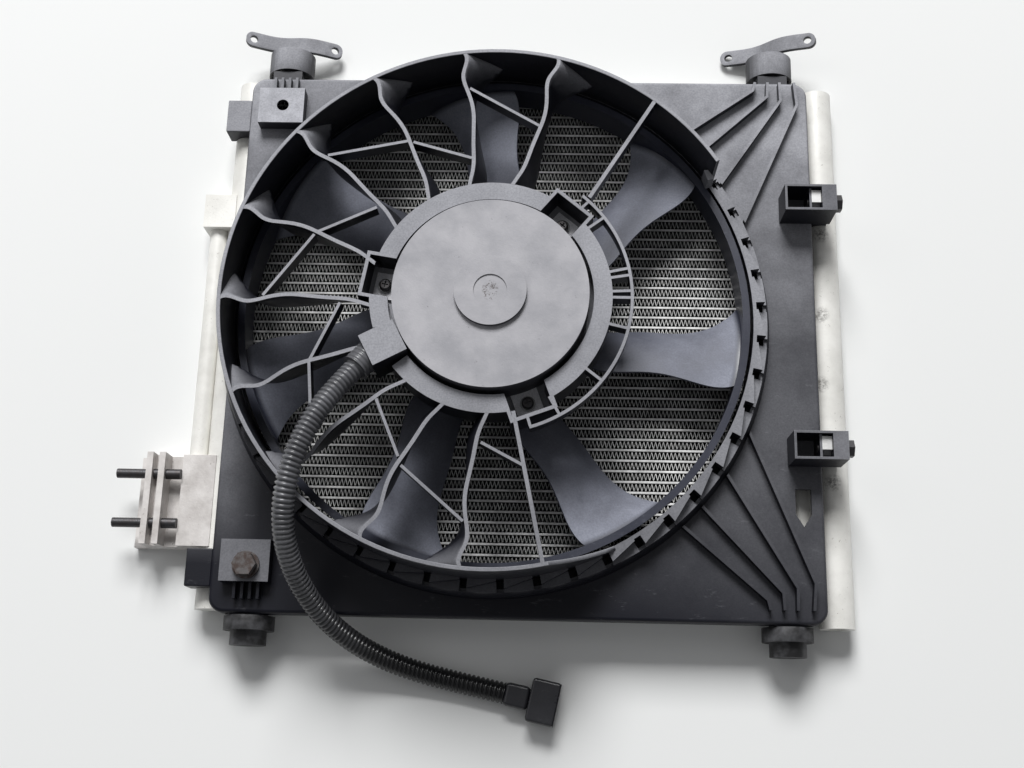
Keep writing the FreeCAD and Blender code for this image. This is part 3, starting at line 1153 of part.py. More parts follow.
plug_start = size("plug_body_long")
plug_long = size("plug_long")
skin = size("plug_wall")
body_high = 2 * size("conduit_radius")
node(on_plug(plug_box(0, plug_start, size("plug_body_wide"), 0, body_high)), "connector_body")
head_shape = plug_box(plug_start, plug_long, size("plug_wide"), 0, size("plug_high"))
head_room = plug_box(plug_start + skin, plug_long, size("plug_wide") - 2 * skin, skin,
                     size("plug_high") - 2 * skin)
node(on_plug(head_shape.cut(head_room)), "connector_head")
insert_long = plug_long * 0.6
insert = plug_box(plug_start + skin, insert_long, size("plug_wide") - 2 * skin - 2 * size("seat_gap"),
                  skin + size("seat_gap"), size("plug_high") - 2 * skin - 2 * size("seat_gap"))
terminals = [
    moved(plug_box(plug_start + skin + 2, insert_long + 2, size("terminal_wide"), size("plug_high") / 2 - 0.4,
                   0.8), 0, offset * size("terminal_pitch"), 0)
    for offset in (-1, 0, 1)]
node(on_plug(insert.cut(terminals)), "connector_insert")
node(on_plug(Part.makeCompound(terminals)), "connector_terminals")

# Recompute, check every object and write each sub-part
doc.recompute()
for obj in doc.Objects:
    if "Invalid" in obj.State or "Error" in obj.State:
        raise RuntimeError("failed object: %s %s" % (obj.Name, obj.Label))
os.makedirs("parts", exist_ok=True)
whole = FreeCAD.BoundBox()
for obj in nodes:
    shape = obj.Shape
    if shape.isNull() or not shape.isValid() or not shape.Solids:
        raise RuntimeError("bad shape: " + obj.Label)
    if obj.Label not in ("conduit", "connector_body", "connector_head", "connector_insert",
                         "connector_terminals"):
        whole.add(shape.BoundBox)
    shape.exportStep("parts/%s.step" % obj.Label)
print("%d nodes" % len(nodes))
print("box without the conduit: x %.2f %.2f  y %.2f %.2f  z %.2f %.2f" % (
    whole.XMin, whole.XMax, whole.YMin, whole.YMax, whole.ZMin, whole.ZMax))
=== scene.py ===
# %% [markdown]
# # Air conditioning condenser with its fan
#
# The object lies on its back on a pale floor: an aluminium core below, and above it a dark moulded
# shroud with a curved-vane stator, a motor and a seven-bladed fan. The solids come from the packed
# model, at their real size. This script gives them their finish, and makes what is too fine for the
# solids: the corrugated fins, the corrugated conduit, stud threads and small mouldings.

# %% Load the frame
import math

import bpy
import bmesh
from mathutils import Matrix, Vector


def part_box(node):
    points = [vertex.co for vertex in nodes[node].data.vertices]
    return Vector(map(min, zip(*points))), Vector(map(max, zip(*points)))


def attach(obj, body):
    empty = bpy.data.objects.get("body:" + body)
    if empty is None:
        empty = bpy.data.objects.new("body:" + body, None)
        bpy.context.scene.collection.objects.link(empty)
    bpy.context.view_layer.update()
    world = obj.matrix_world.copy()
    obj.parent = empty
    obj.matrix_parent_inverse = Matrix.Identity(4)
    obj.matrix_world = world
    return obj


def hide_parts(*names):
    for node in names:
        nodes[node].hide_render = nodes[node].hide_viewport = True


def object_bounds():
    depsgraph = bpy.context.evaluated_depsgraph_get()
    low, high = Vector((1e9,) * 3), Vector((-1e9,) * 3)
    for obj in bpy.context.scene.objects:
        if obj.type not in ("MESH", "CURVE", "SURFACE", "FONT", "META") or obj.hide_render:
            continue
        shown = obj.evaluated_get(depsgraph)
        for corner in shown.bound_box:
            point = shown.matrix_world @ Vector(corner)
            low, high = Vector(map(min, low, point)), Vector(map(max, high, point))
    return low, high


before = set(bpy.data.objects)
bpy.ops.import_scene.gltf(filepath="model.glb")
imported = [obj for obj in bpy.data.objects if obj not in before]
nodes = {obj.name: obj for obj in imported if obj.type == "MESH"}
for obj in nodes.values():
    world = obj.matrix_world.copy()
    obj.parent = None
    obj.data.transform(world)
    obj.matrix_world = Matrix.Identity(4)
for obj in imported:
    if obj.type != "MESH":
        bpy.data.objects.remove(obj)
cad_low, cad_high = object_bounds()
print("nodes:", len(nodes))

# %% [markdown]
# Places in this script are worked out from the fan's axis. The axis is the middle of the motor's
# cover, and the front of the core is the top of its flat tubes, so both come from the frame.

# %% Origin of the design coordinates
cover_low, cover_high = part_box("motor_cover")
tubes_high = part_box("core_tubes")[1]
AXIS = Vector(((cover_low.x + cover_high.x) / 2, (cover_low.y + cover_high.y) / 2, tubes_high.z))
MM = 0.001


def place(x, y, z):
    """A point given in millimetres from the fan's axis and the front of the core."""
    return AXIS + Vector((x, y, z)) * MM


print("fan axis at", [round(v, 4) for v in AXIS])

# %% [markdown]
# The camera looks down at a steep angle, a little from below the object's lower edge. Its lens and
# place were solved from round and square things in the view, so it is given as plain numbers.

# %% Camera in millimetres and degrees
LENS = 44.0
SENSOR_WIDTH = 36.0
CAMERA_SPOT = (36.283, -258.3, 796.289)
CAMERA_TURN = (15.511, 1.654, 0.973)

camera_data = bpy.data.cameras.new("camera")
camera_data.lens = LENS
camera_data.sensor_width = SENSOR_WIDTH
camera = bpy.data.objects.new("camera", camera_data)
bpy.context.scene.collection.objects.link(camera)
turn_x = Matrix.Rotation(math.radians(-CAMERA_TURN[0]), 3, "X")
turn_y = Matrix.Rotation(math.radians(-CAMERA_TURN[1]), 3, "Y")
turn_z = Matrix.Rotation(math.radians(-CAMERA_TURN[2]), 3, "Z")
world_to_camera = turn_z @ turn_y @ turn_x
camera.matrix_world = Matrix.Translation(place(*CAMERA_SPOT)) @ world_to_camera.transposed().to_4x4()
bpy.context.scene.camera = camera
bpy.context.scene.view_settings.view_transform = "Standard"
print("camera at", [round(v, 3) for v in camera.matrix_world.translation])

# %% [markdown]
# ## How finishes are made
#
# Every finish is a small node tree on the object's own coordinates, so that it stays put when the
# camera or a joint moves. A few helpers keep the trees short to read: one adds a node, one makes a
# patchy noise, one maps a value to a ramp and one mixes two colours. Painted pictures would also do,
# but they need unwrapping, and a noise that is worked out at each point stays sharp at any distance.

# %% Helpers for materials


class Finish:
    """A material under construction, with its shader and its object coordinates."""

    def __init__(self, name, roughness=0.5, metallic=0.0):
        self.material = bpy.data.materials.new(name)
        self.material.use_nodes = True
        self.tree = self.material.node_tree
        self.shader = self.tree.nodes["Principled BSDF"]
        self.shader.inputs["Roughness"].default_value = roughness
        self.shader.inputs["Metallic"].default_value = metallic
        self.coords = self.add("ShaderNodeTexCoord")
        self.object_spot = self.coords.outputs["Object"]

    def add(self, kind, **settings):
        node = self.tree.nodes.new(kind)
        for key, value in settings.items():
            setattr(node, key, value)
        return node

    def link(self, source, target):
        self.tree.links.new(source, target)

    def number(self, node, socket, value):
        """Set a socket to a number, or link it if the value is another node's output."""
        if isinstance(value, bpy.types.NodeSocket):
            self.link(value, node.inputs[socket])
        else:
            node.inputs[socket].default_value = value

    def noise(self, scale, detail=4.0, roughness=0.55, stretch=(1, 1, 1)):
        mapping = self.add("ShaderNodeMapping")
        mapping.inputs["Scale"].default_value = stretch
        self.link(self.object_spot, mapping.inputs["Vector"])
        node = self.add("ShaderNodeTexNoise")
        self.link(mapping.outputs["Vector"], node.inputs["Vector"])
        node.inputs["Scale"].default_value = scale
        node.inputs["Detail"].default_value = detail
        node.inputs["Roughness"].default_value = roughness
        return node.outputs["Fac"]

    def remap(self, value, low, high, to_low=0.0, to_high=1.0):
        node = self.add("ShaderNodeMapRange", clamp=True)
        self.link(value, node.inputs["Value"])
        for socket, amount in (("From Min", low), ("From Max", high),
                               ("To Min", to_low), ("To Max", to_high)):
            node.inputs[socket].default_value = amount
        return node.outputs["Result"]

    def calc(self, operation, first, second):
        """Two values put together by an operation, kept between 0 and 1 unless it subtracts."""
        node = self.add("ShaderNodeMath", operation=operation, use_clamp=(operation != "SUBTRACT"))
        self.number(node, 0, first)
        self.number(node, 1, second)
        return node.outputs["Value"]

    def mix(self, factor, first, second):
        node = self.add("ShaderNodeMix", data_type="RGBA")
        self.number(node, "Factor", factor)
        for socket, colour in (("A", first), ("B", second)):
            target = [s for s in node.inputs if s.name == socket and s.type == "RGBA"][0]
            if isinstance(colour, bpy.types.NodeSocket):
                self.link(colour, target)
            else:
                target.default_value = (*colour, 1.0)
        return [s for s in node.outputs if s.type == "RGBA"][0]

    def axis(self, name):
        """One coordinate of the point, in metres."""
        node = self.add("ShaderNodeSeparateXYZ")
        self.link(self.object_spot, node.inputs[0])
        return node.outputs[name]

    def along(self, direction):
        """How far a point lies along a direction, in metres."""
        node = self.add("ShaderNodeVectorMath", operation="DOT_PRODUCT")
        self.link(self.object_spot, node.inputs[0])
        node.inputs[1].default_value = direction
        return node.outputs["Value"]

    def distance_from(self, x, y, squash=1.0):
        """How far a point lies from an upright line, in metres; squash makes the circles oval."""
        flat = self.add("ShaderNodeVectorMath", operation="MULTIPLY")
        self.link(self.object_spot, flat.inputs[0])
        flat.inputs[1].default_value = (1.0, squash, 0.0)
        away = self.add("ShaderNodeVectorMath", operation="DISTANCE")
        self.link(flat.outputs["Vector"], away.inputs[0])
        away.inputs[1].default_value = (x, y * squash, 0.0)
        return away.outputs["Value"]

    def facing_up(self, low, high):
        """1 on faces that look up, 0 on walls."""
        node = self.add("ShaderNodeSeparateXYZ")
        self.link(self.coords.outputs["Normal"], node.inputs[0])
        return self.remap(node.outputs["Z"], low, high)

    def colour(self, value):
        if isinstance(value, bpy.types.NodeSocket):
            self.link(value, self.shader.inputs["Base Color"])
        else:
            self.shader.inputs["Base Color"].default_value = (*value, 1.0)

    def roughness(self, value):
        self.link(value, self.shader.inputs["Roughness"])

    def bump(self, height, distance, strength=1.0):
        node = self.add("ShaderNodeBump")
        node.inputs["Distance"].default_value = distance
        node.inputs["Strength"].default_value = strength
        self.link(height, node.inputs["Height"])
        self.link(node.outputs["Normal"], self.shader.inputs["Normal"])


# %% [markdown]
# ## Dusty moulded plastic
#
# The shroud, the stator and the motor holder are one dark blue-black moulding. Road dust has settled
# on what faces up, thicker toward the upper right edge, and has left the walls nearly black. On the
# shroud, part of that paleness toward the top is a painted reflection of the window, and its lower edge
# is darkened by painted shade. The finish mixes a dark base with a pale colour of dust and painted
# light, by how far a face looks up, by place and by two noises.

# %% Plastic finishes
# The pale colour is dust, and on some finishes it also paints light: a reflection on the shroud, highlights
# along edges, light on the high conduit.
PALE_DUST_AND_LIGHT = (0.50, 0.505, 0.545)
DARK_PLASTIC = (0.006, 0.0065, 0.012)


def plastic(name, amount_from, wall_dust=0.03, patch=0.35, dust=PALE_DUST_AND_LIGHT, base=DARK_PLASTIC, shine=0.42,
            gloss=0.3):
    """Dark plastic under a pale coat of dust, which in places also paints light. amount_from returns, for a
    finish, how much of the pale colour lies at a place.
    """
    finish = Finish(name, shine)
    finish.shader.inputs["Specular IOR Level"].default_value = gloss
    patches = finish.remap(finish.noise(26.0, 5.0, 0.6), 0.30, 0.72, 1.0 - patch, 1.0 + patch * 0.6)
    grains = finish.remap(finish.noise(900.0, 2.0), 0.3, 0.7, 0.84, 1.12)
    up = finish.remap(finish.facing_up(0.35, 0.9), 0.0, 1.0, wall_dust, 1.0)
    scuffs = finish.remap(finish.noise(75.0, 7.0, 0.72, (1.0, 3.0, 1.0)), 0.60, 0.72, 0.0, 0.10)
    amount = finish.calc("MULTIPLY", amount_from(finish), finish.calc("MULTIPLY", patches, up))
    amount = finish.calc("ADD", finish.calc("MULTIPLY", amount, grains), finish.calc("MULTIPLY", scuffs, up))
    finish.colour(finish.mix(amount, base, dust))
    finish.roughness(finish.remap(amount, 0.0, 0.5, shine, 0.80))
    finish.bump(finish.noise(1400.0, 2.0), 0.0002, 0.25)
    return finish.material


def steady(value):
    """The same dust everywhere."""
    return lambda finish: value


PAD_FOOT = 0.0405
PAD_TOP = 0.0415
BAND_DUST = 0.12


def plate_dust_and_reflection(finish):
    """Little pale colour along the lower edge, more over the middle and most at the top: partly dust, partly
    a painted reflection that brightens the top and painted shade along the bottom.
    """
    slant = finish.along((0.30, 1.0, 0.0))
    # The lower and upper ramps are partly dust, partly a painted reflection of the window and painted shade
    # at the lower edge.
    lower_dust_and_reflection = finish.remap(slant, -0.165, -0.06, 0.0, 0.18)
    upper_dust_and_reflection = finish.remap(slant, 0.04, 0.19, 0.0, 0.55)
    left = finish.calc("MULTIPLY", finish.remap(finish.axis("X"), -0.140, -0.162, 0.0, 0.26),
                       finish.remap(finish.axis("Y"), -0.165, -0.12, 0.0, 1.0))
    pad_coat = finish.calc("ADD", finish.remap(finish.axis("Y"), 0.10, 0.12, 0.0, 0.6),
                           finish.remap(finish.axis("Y"), -0.12, -0.14, 0.0, 0.30))
    pads = finish.calc("MULTIPLY", finish.remap(finish.axis("Z"), PAD_FOOT, PAD_TOP), pad_coat)
    beyond = finish.remap(finish.axis("Y"), 0.1735, 0.175, 1.0, BAND_DUST)
    total = finish.calc("ADD", finish.calc("ADD", lower_dust_and_reflection, upper_dust_and_reflection), finish.calc("ADD", left, pads))
    return finish.calc("MULTIPLY", total, beyond)


def ring_dust(finish):
    """The ring is dusty at the right and nearly clean at the lower left."""
    return finish.remap(finish.along((0.9, 0.6, 0.0)), -0.20, 0.16, 0.03, 0.62)


def stator_dust(finish):
    """Vane tops are dusty all round, and a little less toward the lower edge."""
    return finish.remap(finish.axis("Y"), -0.20, 0.02, 0.45, 0.72)


def fan_dust(finish):
    """The blades carry more dust toward their tips, and the band round them stays dark."""
    far = finish.distance_from(AXIS.x, AXIS.y)
    on_blade = finish.remap(far, 0.06, 0.165, 0.16, 0.64)
    return finish.calc("MULTIPLY", on_blade, finish.remap(far, 0.1565, 0.1595, 1.0, BAND_DUST))


shroud_finish = plastic("shroud_plastic", plate_dust_and_reflection, wall_dust=0.10, patch=0.45)
ring_finish = plastic("ring_plastic", ring_dust, wall_dust=0.05, patch=0.3)
stator_finish = plastic("stator_plastic", stator_dust, wall_dust=0.02, patch=0.22)
# The pale finishes for rounded edges are dust with a painted highlight along each edge.
edge_dust_and_highlight = plastic("dusty_edge_highlight", steady(0.62), wall_dust=0.5, patch=0.3)
plate_edge_highlight = plastic("plate_edge_highlight", plate_dust_and_reflection, wall_dust=0.5, patch=0.3)
outlet_finish = plastic("outlet_plastic", steady(0.66), wall_dust=0.03, patch=0.25)
clamp_finish = plastic("clamp_plastic", plate_dust_and_reflection, wall_dust=0.05, patch=0.4)
clip_finish = plastic("clip_plastic", steady(0.36), wall_dust=0.02, patch=0.5)
black_finish = plastic("black_plastic", steady(0.04), wall_dust=0.4, patch=0.5, base=(0.006, 0.006, 0.009),
                       shine=0.25, gloss=0.6)
fan_finish = plastic("fan_plastic", fan_dust, wall_dust=0.3, patch=0.45, base=(0.010, 0.012, 0.026),
                     shine=0.30, dust=(0.42, 0.44, 0.52), gloss=0.5)
print("materials with the plastics:", len(bpy.data.materials))

# %% [markdown]
# ## Metals
#
# The core and its pipes are bare aluminium, bright but dulled by oxide, with brown specks and dirty
# patches near the clips. The motor's can is painted and dusty. Bolts are zinc plated steel, and the
# pad bolt has begun to rust. A mirror-like metal would be too dark in this plain light, so most of these
# finishes are only partly metallic.

# %% Metal finishes
METAL_ROUGHNESS = 0.42
BROWN_SPECK = (0.22, 0.19, 0.16)
STAIN = (0.10, 0.09, 0.085)
STAIN_RADIUS = 0.0065


def aluminium(name, bright, dull, patch_scale=30.0, speckle=0.5, metallic=0.55, stains=()):
    """Oxidised metal with dull patches, brown specks and, at given places, ragged stains."""
    finish = Finish(name, METAL_ROUGHNESS, metallic)
    patches = finish.remap(finish.noise(patch_scale, 6.0, 0.62), 0.38, 0.68)
    tone = finish.mix(patches, bright, dull)
    specks = finish.calc("MULTIPLY", finish.remap(finish.noise(420.0, 3.0, 0.7), 0.64, 0.74),
                         finish.remap(finish.noise(40.0, 3.0), 0.42, 0.62, 0.0, speckle))
    tone = finish.mix(specks, tone, BROWN_SPECK)
    for x, y in stains:
        middle = place(x, y, 0)
        near = finish.remap(finish.distance_from(middle.x, middle.y), STAIN_RADIUS, 0.002)
        ragged = finish.remap(finish.noise(500.0, 5.0, 0.7), 0.42, 0.58, 0.1, 0.8)
        tone = finish.mix(finish.calc("MULTIPLY", near, ragged), tone, STAIN)
    finish.colour(tone)
    finish.roughness(finish.remap(finish.noise(180.0, 4.0), 0.3, 0.7,
                                  METAL_ROUGHNESS - 0.08, METAL_ROUGHNESS + 0.16))
    finish.bump(finish.noise(700.0, 4.0, 0.6), 0.0003, 0.35)
    return finish.material


fins_low, fins_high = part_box("core_fins")
FIN_DARK_AT = 2.6 * MM
FIN_BRIGHT_AT = 0.3 * MM


def fin_aluminium():
    """Fins are bright along their front edge and soon dark behind it, where no light reaches."""
    finish = Finish("fin_aluminium", 0.45)
    # The colour darkens with depth behind the front edge: painted shade.
    depth = finish.remap(finish.axis("Z"), fins_high.z - FIN_DARK_AT, fins_high.z - FIN_BRIGHT_AT)
    grime = finish.remap(finish.noise(55.0, 4.0), 0.35, 0.65, 0.55, 1.0)
    lit = finish.calc("MULTIPLY", depth, grime)
    finish.colour(finish.mix(lit, (0.006, 0.006, 0.006), (0.95, 0.95, 0.93)))
    return finish.material


plate_finish = aluminium("plate_aluminium", (0.88, 0.88, 0.87), (0.70, 0.70, 0.69), metallic=0.2)


def tube_aluminium():
    """Bright on the rounded front of each tube, a painted highlight, and painted dark beside it as shade,
    with patches of grime.
    """
    finish = Finish("tube_aluminium", 0.45)
    # Faces that look up are painted bright as a highlight; the sides are painted dark as shade.
    front = finish.facing_up(0.35, 0.85)
    grime = finish.remap(finish.noise(90.0, 4.0), 0.35, 0.65, 0.6, 1.0)
    lit = finish.calc("MULTIPLY", front, grime)
    finish.colour(finish.mix(lit, (0.02, 0.02, 0.02), (0.95, 0.95, 0.94)))
    return finish.material


tube_finish = tube_aluminium()
fin_finish = fin_aluminium()
RECEIVER_STAINS = [(219.0, 70.6), (216.7, 13.4), (214.7, -34.4), (219.6, -100.0)]
header_finish = aluminium("header_aluminium", (0.90, 0.89, 0.85), (0.72, 0.71, 0.67), metallic=0.05,
                          speckle=0.9, stains=RECEIVER_STAINS)
block_finish = aluminium("block_aluminium", (0.76, 0.73, 0.71), (0.52, 0.49, 0.47), metallic=0.15,
                         speckle=0.9, patch_scale=60.0)


def steel(name, colour=(0.34, 0.34, 0.35), rust=0.0, roughness=0.38):
    finish = Finish(name, roughness, 0.8)
    patches = finish.remap(finish.noise(260.0, 5.0, 0.65), 0.42, 0.60, 0.0, rust)
    tone = finish.mix(finish.noise(500.0, 2.0), [c * 0.7 for c in colour], colour)
    finish.colour(finish.mix(patches, tone, (0.065, 0.042, 0.034)))
    finish.bump(finish.noise(1200.0, 3.0), 0.0002, 0.3)
    return finish.material


steel_finish = steel("zinc_steel")
dark_steel = steel("dark_steel", (0.09, 0.09, 0.095), rust=0.25, roughness=0.45)
rusty_steel = steel("rusty_steel", (0.16, 0.15, 0.15), rust=0.75, roughness=0.55)
copper_finish = aluminium("copper", (0.75, 0.36, 0.20), (0.50, 0.22, 0.12), metallic=0.9)


SPOT_SQUASH = 0.8


def painted_can():
    """Grey dusty paint with small dark scuffs, walls painted dark as shade, and bare rough metal at the
    middle.
    """
    finish = Finish("motor_paint", 0.62)
    tone = finish.mix(finish.remap(finish.noise(38.0, 6.0, 0.6), 0.35, 0.65), (0.31, 0.31, 0.335),
                      (0.43, 0.425, 0.45))
    # The can's walls are painted near black: painted shade beside the lit top.
    walls = finish.mix(finish.facing_up(0.2, 0.8), (0.05, 0.05, 0.06), tone)
    scuffs = finish.remap(finish.noise(240.0, 4.0, 0.75), 0.66, 0.72, 0.0, 0.55)
    marked = finish.mix(scuffs, walls, (0.06, 0.055, 0.06))
    inside = finish.remap(finish.distance_from(AXIS.x, AXIS.y, SPOT_SQUASH), 0.0055, 0.004)
    rough_spot = finish.calc("MULTIPLY", inside, finish.remap(finish.noise(330.0, 6.0, 0.8), 0.50, 0.58))
    finish.colour(finish.mix(rough_spot, marked, (0.07, 0.055, 0.05)))
    finish.bump(finish.noise(900.0, 3.0), 0.0003, 0.3)
    return finish.material


motor_finish = painted_can()
# The end plate's lugs are painted nearly white: painted light that lifts the pocket floors out of the shade
# of their depth.
lug_painted_light = plastic("lug_pale_painted_light", steady(0.95), wall_dust=0.2, patch=0.1, dust=(0.86, 0.86, 0.90),
                     base=(0.05, 0.05, 0.055))
bracket_finish = plastic("bracket_grey", steady(0.62), wall_dust=0.08, patch=0.4, base=(0.02, 0.02, 0.024))


def rubber(name, colour=(0.012, 0.012, 0.013), dusty=0.15):
    finish = Finish(name, 0.6)
    amount = finish.calc("MULTIPLY", finish.remap(finish.noise(120.0, 4.0), 0.4, 0.7), dusty)
    finish.colour(finish.mix(amount, colour, PALE_DUST_AND_LIGHT))
    finish.bump(finish.noise(800.0, 3.0), 0.0002, 0.3)
    return finish.material


rubber_finish = rubber("bush_rubber")
cloth_finish = rubber("bag_cloth", (0.7, 0.68, 0.62), 0.1)
print("materials with the metals:", len(bpy.data.materials))

# %% [markdown]
# ## Putting finishes on the solids
#
# The moulded and pressed pieces keep their solids. Each gets a Weld and a small Bevel, because no
# moulding has knife edges: the rounded edge catches light, and here it also wears a paler finish, a
# painted highlight with some dust, which draws the thin pale lines along every vane and tooth.

# %% Finishes by node
WELD_GAP = 0.01 * MM
SHARP_ANGLE = math.radians(35.0)
EDGE_STEPS = 2


def dress(names, finish, edge=None, bevel=0.0):
    """Give nodes a finish, and rounded edges if asked; edge is the finish of the rounded part, a paler one
    that paints a highlight.
    """
    for name in names:
        node = nodes[name]
        node.data.materials.clear()
        node.data.materials.append(finish)
        if edge:
            node.data.materials.append(edge)
        if bevel:
            weld = node.modifiers.new("weld", "WELD")
            weld.merge_threshold = WELD_GAP
            rounding = node.modifiers.new("bevel", "BEVEL")
            rounding.width = bevel * MM
            rounding.segments = EDGE_STEPS
            rounding.limit_method = "ANGLE"
            rounding.angle_limit = SHARP_ANGLE
            rounding.harden_normals = True
            if edge:
                # The rounded faces take the second, paler finish: a painted highlight along each edge.
                rounding.material = 1


dress(["fan_shroud", "shroud_ribs"], shroud_finish, plate_edge_highlight, 0.35)
dress(["tunnel_ring"], ring_finish, edge_dust_and_highlight, 0.35)
dress(["stator_rim"], stator_finish, edge_dust_and_highlight, 0.4)
dress(["stator_vanes", "motor_holder"], stator_finish, edge_dust_and_highlight, 0.35)
dress(["fan_rotor"], fan_finish)
dress(["core_tubes"], tube_finish, None, 0.75)
dress(["side_plates"], plate_finish)
dress(["core_fins"], fin_finish)
dress(["header_left", "header_right", "receiver_tube", "inlet_pipe", "header_caps", "header_baffles",
       "receiver_plug", "receiver_saddles"], header_finish)
dress(["pipe_block"], header_finish, None, 2.5)
dress(["connector_block"], block_finish, None, 0.6)
dress(["motor_cover"], motor_finish, None, 0.8)
dress(["motor_end_plate"], lug_painted_light, None, 0.3)
dress(["motor_screws"], dark_steel)
dress(["fan_nut", "clip_nuts", "pad_nut", "motor_shaft", "bearing_upper", "bearing_lower",
       "motor_washers", "brush_springs"], steel_finish)
dress(["connector_studs", "clip_bolts"], dark_steel)
dress(["pad_bolt"], rusty_steel, None, 0.4)
dress(["top_bracket_left", "top_bracket_right"], bracket_finish, None, 0.4)
dress(["top_bush_left", "top_bush_right"], rubber_finish)
dress(["bottom_bushes"], rubber_finish, None, 1.2)
dress(["header_clamps"], clamp_finish, None, 0.8)
dress(["clip_bracket_upper", "clip_bracket_lower"], clip_finish, edge_dust_and_highlight, 0.35)
dress(["cable_outlet"], outlet_finish, edge_dust_and_highlight, 0.6)
dress(["connector_body", "connector_head"], black_finish, None, 2.4)
dress(["connector_insert", "brush_card", "brushes"], black_finish)
dress(["armature_winding", "commutator", "connector_terminals"], copper_finish)
dress(["armature_core", "magnets"], dark_steel)
dress(["desiccant_bag"], cloth_finish)
dress(["conduit"], black_finish)
print("pieces without a finish:", [name for name, node in nodes.items() if not node.data.materials])

# %% [markdown]
# ## Corrugated fins
#
# Between the flat tubes runs a thin sheet folded to and fro about every 2.5 mm. It could be an Array on
# an Array. Here one fold is modelled once, and Geometry Nodes repeat it along each strip and up the
# core, so that its pitch is one number and the strips follow the size of the core.

# %% Fins by Geometry Nodes
FOLD_PITCH = 2.54 * MM
SHEET = 0.30 * MM
SHEET_SHIFT = 1.1
TUBE_PITCH = 7.0 * MM
TUBE_THICK = 1.8 * MM
STRIP_HIGH = TUBE_PITCH - TUBE_THICK
FIN_DEPTH = fins_high.z - fins_low.z


def one_fold():
    """Half a wave up and half a wave down, a closed thin solid."""
    line = [(0.0, 0.0), (FOLD_PITCH / 2, STRIP_HIGH - SHEET), (FOLD_PITCH, 0.0)]
    mesh = bpy.data.meshes.new("fold")
    build = bmesh.new()
    shift = SHEET * SHEET_SHIFT
    lower = [build.verts.new((x, y, z)) for z in (0, FIN_DEPTH) for x, y in line]
    upper = [build.verts.new((x + shift, y + SHEET, z)) for z in (0, FIN_DEPTH) for x, y in line]
    count = len(line)
    for i in range(count - 1):
        a, b = i, i + 1
        build.faces.new([lower[a], lower[b], lower[b + count], lower[a + count]])
        build.faces.new([upper[b], upper[a], upper[a + count], upper[b + count]])
        build.faces.new([lower[b], lower[a], upper[a], upper[b]])
        build.faces.new([lower[a + count], lower[b + count], upper[b + count], upper[a + count]])
    for i in (0, count - 1):
        build.faces.new([lower[i], lower[i + count], upper[i + count], upper[i]])
    bmesh.ops.recalc_face_normals(build, faces=build.faces)
    build.to_mesh(mesh)
    build.free()
    return bpy.data.objects.new("fold", mesh)


def new_tree(name, **sizes):
    """An empty Geometry Nodes tree with a geometry output and named number inputs."""
    tree = bpy.data.node_groups.new(name, "GeometryNodeTree")
    tree.interface.new_socket("Geometry", in_out="OUTPUT", socket_type="NodeSocketGeometry")
    for key, value in sizes.items():
        kind = "NodeSocketInt" if isinstance(value, int) else "NodeSocketFloat"
        socket = tree.interface.new_socket(key, in_out="INPUT", socket_type=kind)
        socket.default_value = value
    return tree


def run_tree(tree, name):
    """Run a tree and keep its result as a plain mesh object at the origin."""
    holder = bpy.data.objects.new(name + "_holder", bpy.data.meshes.new(name + "_holder"))
    bpy.context.scene.collection.objects.link(holder)
    modifier = holder.modifiers.new("nodes", "NODES")
    modifier.node_group = tree
    bpy.context.view_layer.update()
    graph = bpy.context.evaluated_depsgraph_get()
    mesh = bpy.data.meshes.new_from_object(holder.evaluated_get(graph))
    mesh.name = name
    bpy.data.objects.remove(holder)
    piece = bpy.data.objects.new(name, mesh)
    bpy.context.scene.collection.objects.link(piece)
    return piece


def fin_tree(fold):
    strips = round((fins_high.y - fins_low.y + TUBE_THICK) / TUBE_PITCH)
    folds = int((fins_high.x - fins_low.x) / FOLD_PITCH)
    tree = new_tree("fin_strips", Folds=folds, Strips=strips, Fold_pitch=FOLD_PITCH, Strip_pitch=TUBE_PITCH)
    node, link = tree.nodes.new, tree.links.new
    inputs = node("NodeGroupInput")
    fold_info = node("GeometryNodeObjectInfo")
    fold_info.inputs["Object"].default_value = fold
    along = node("GeometryNodeMeshLine")
    along_step = node("ShaderNodeCombineXYZ")
    link(inputs.outputs["Fold_pitch"], along_step.inputs["X"])
    link(along_step.outputs[0], along.inputs["Offset"])
    link(inputs.outputs["Folds"], along.inputs["Count"])
    strip = node("GeometryNodeInstanceOnPoints")
    link(along.outputs[0], strip.inputs["Points"])
    link(fold_info.outputs["Geometry"], strip.inputs["Instance"])
    upward = node("GeometryNodeMeshLine")
    upward.inputs["Start Location"].default_value = fins_low
    upward_step = node("ShaderNodeCombineXYZ")
    link(inputs.outputs["Strip_pitch"], upward_step.inputs["Y"])
    link(upward_step.outputs[0], upward.inputs["Offset"])
    link(inputs.outputs["Strips"], upward.inputs["Count"])
    block = node("GeometryNodeInstanceOnPoints")
    link(upward.outputs[0], block.inputs["Points"])
    link(strip.outputs[0], block.inputs["Instance"])
    real = node("GeometryNodeRealizeInstances")
    link(block.outputs[0], real.inputs[0])
    paint = node("GeometryNodeSetMaterial")
    paint.inputs["Material"].default_value = fin_finish
    link(real.outputs[0], paint.inputs["Geometry"])
    output = node("NodeGroupOutput")
    link(paint.outputs[0], output.inputs[0])
    print("fins: %d strips of %d folds" % (strips, folds))
    return tree


fold = one_fold()
fins = run_tree(fin_tree(fold), "corrugated_fins")
bpy.data.objects.remove(fold)
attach(fins, "condenser")
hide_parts("core_fins")
print("fins:", len(fins.data.polygons), "faces")

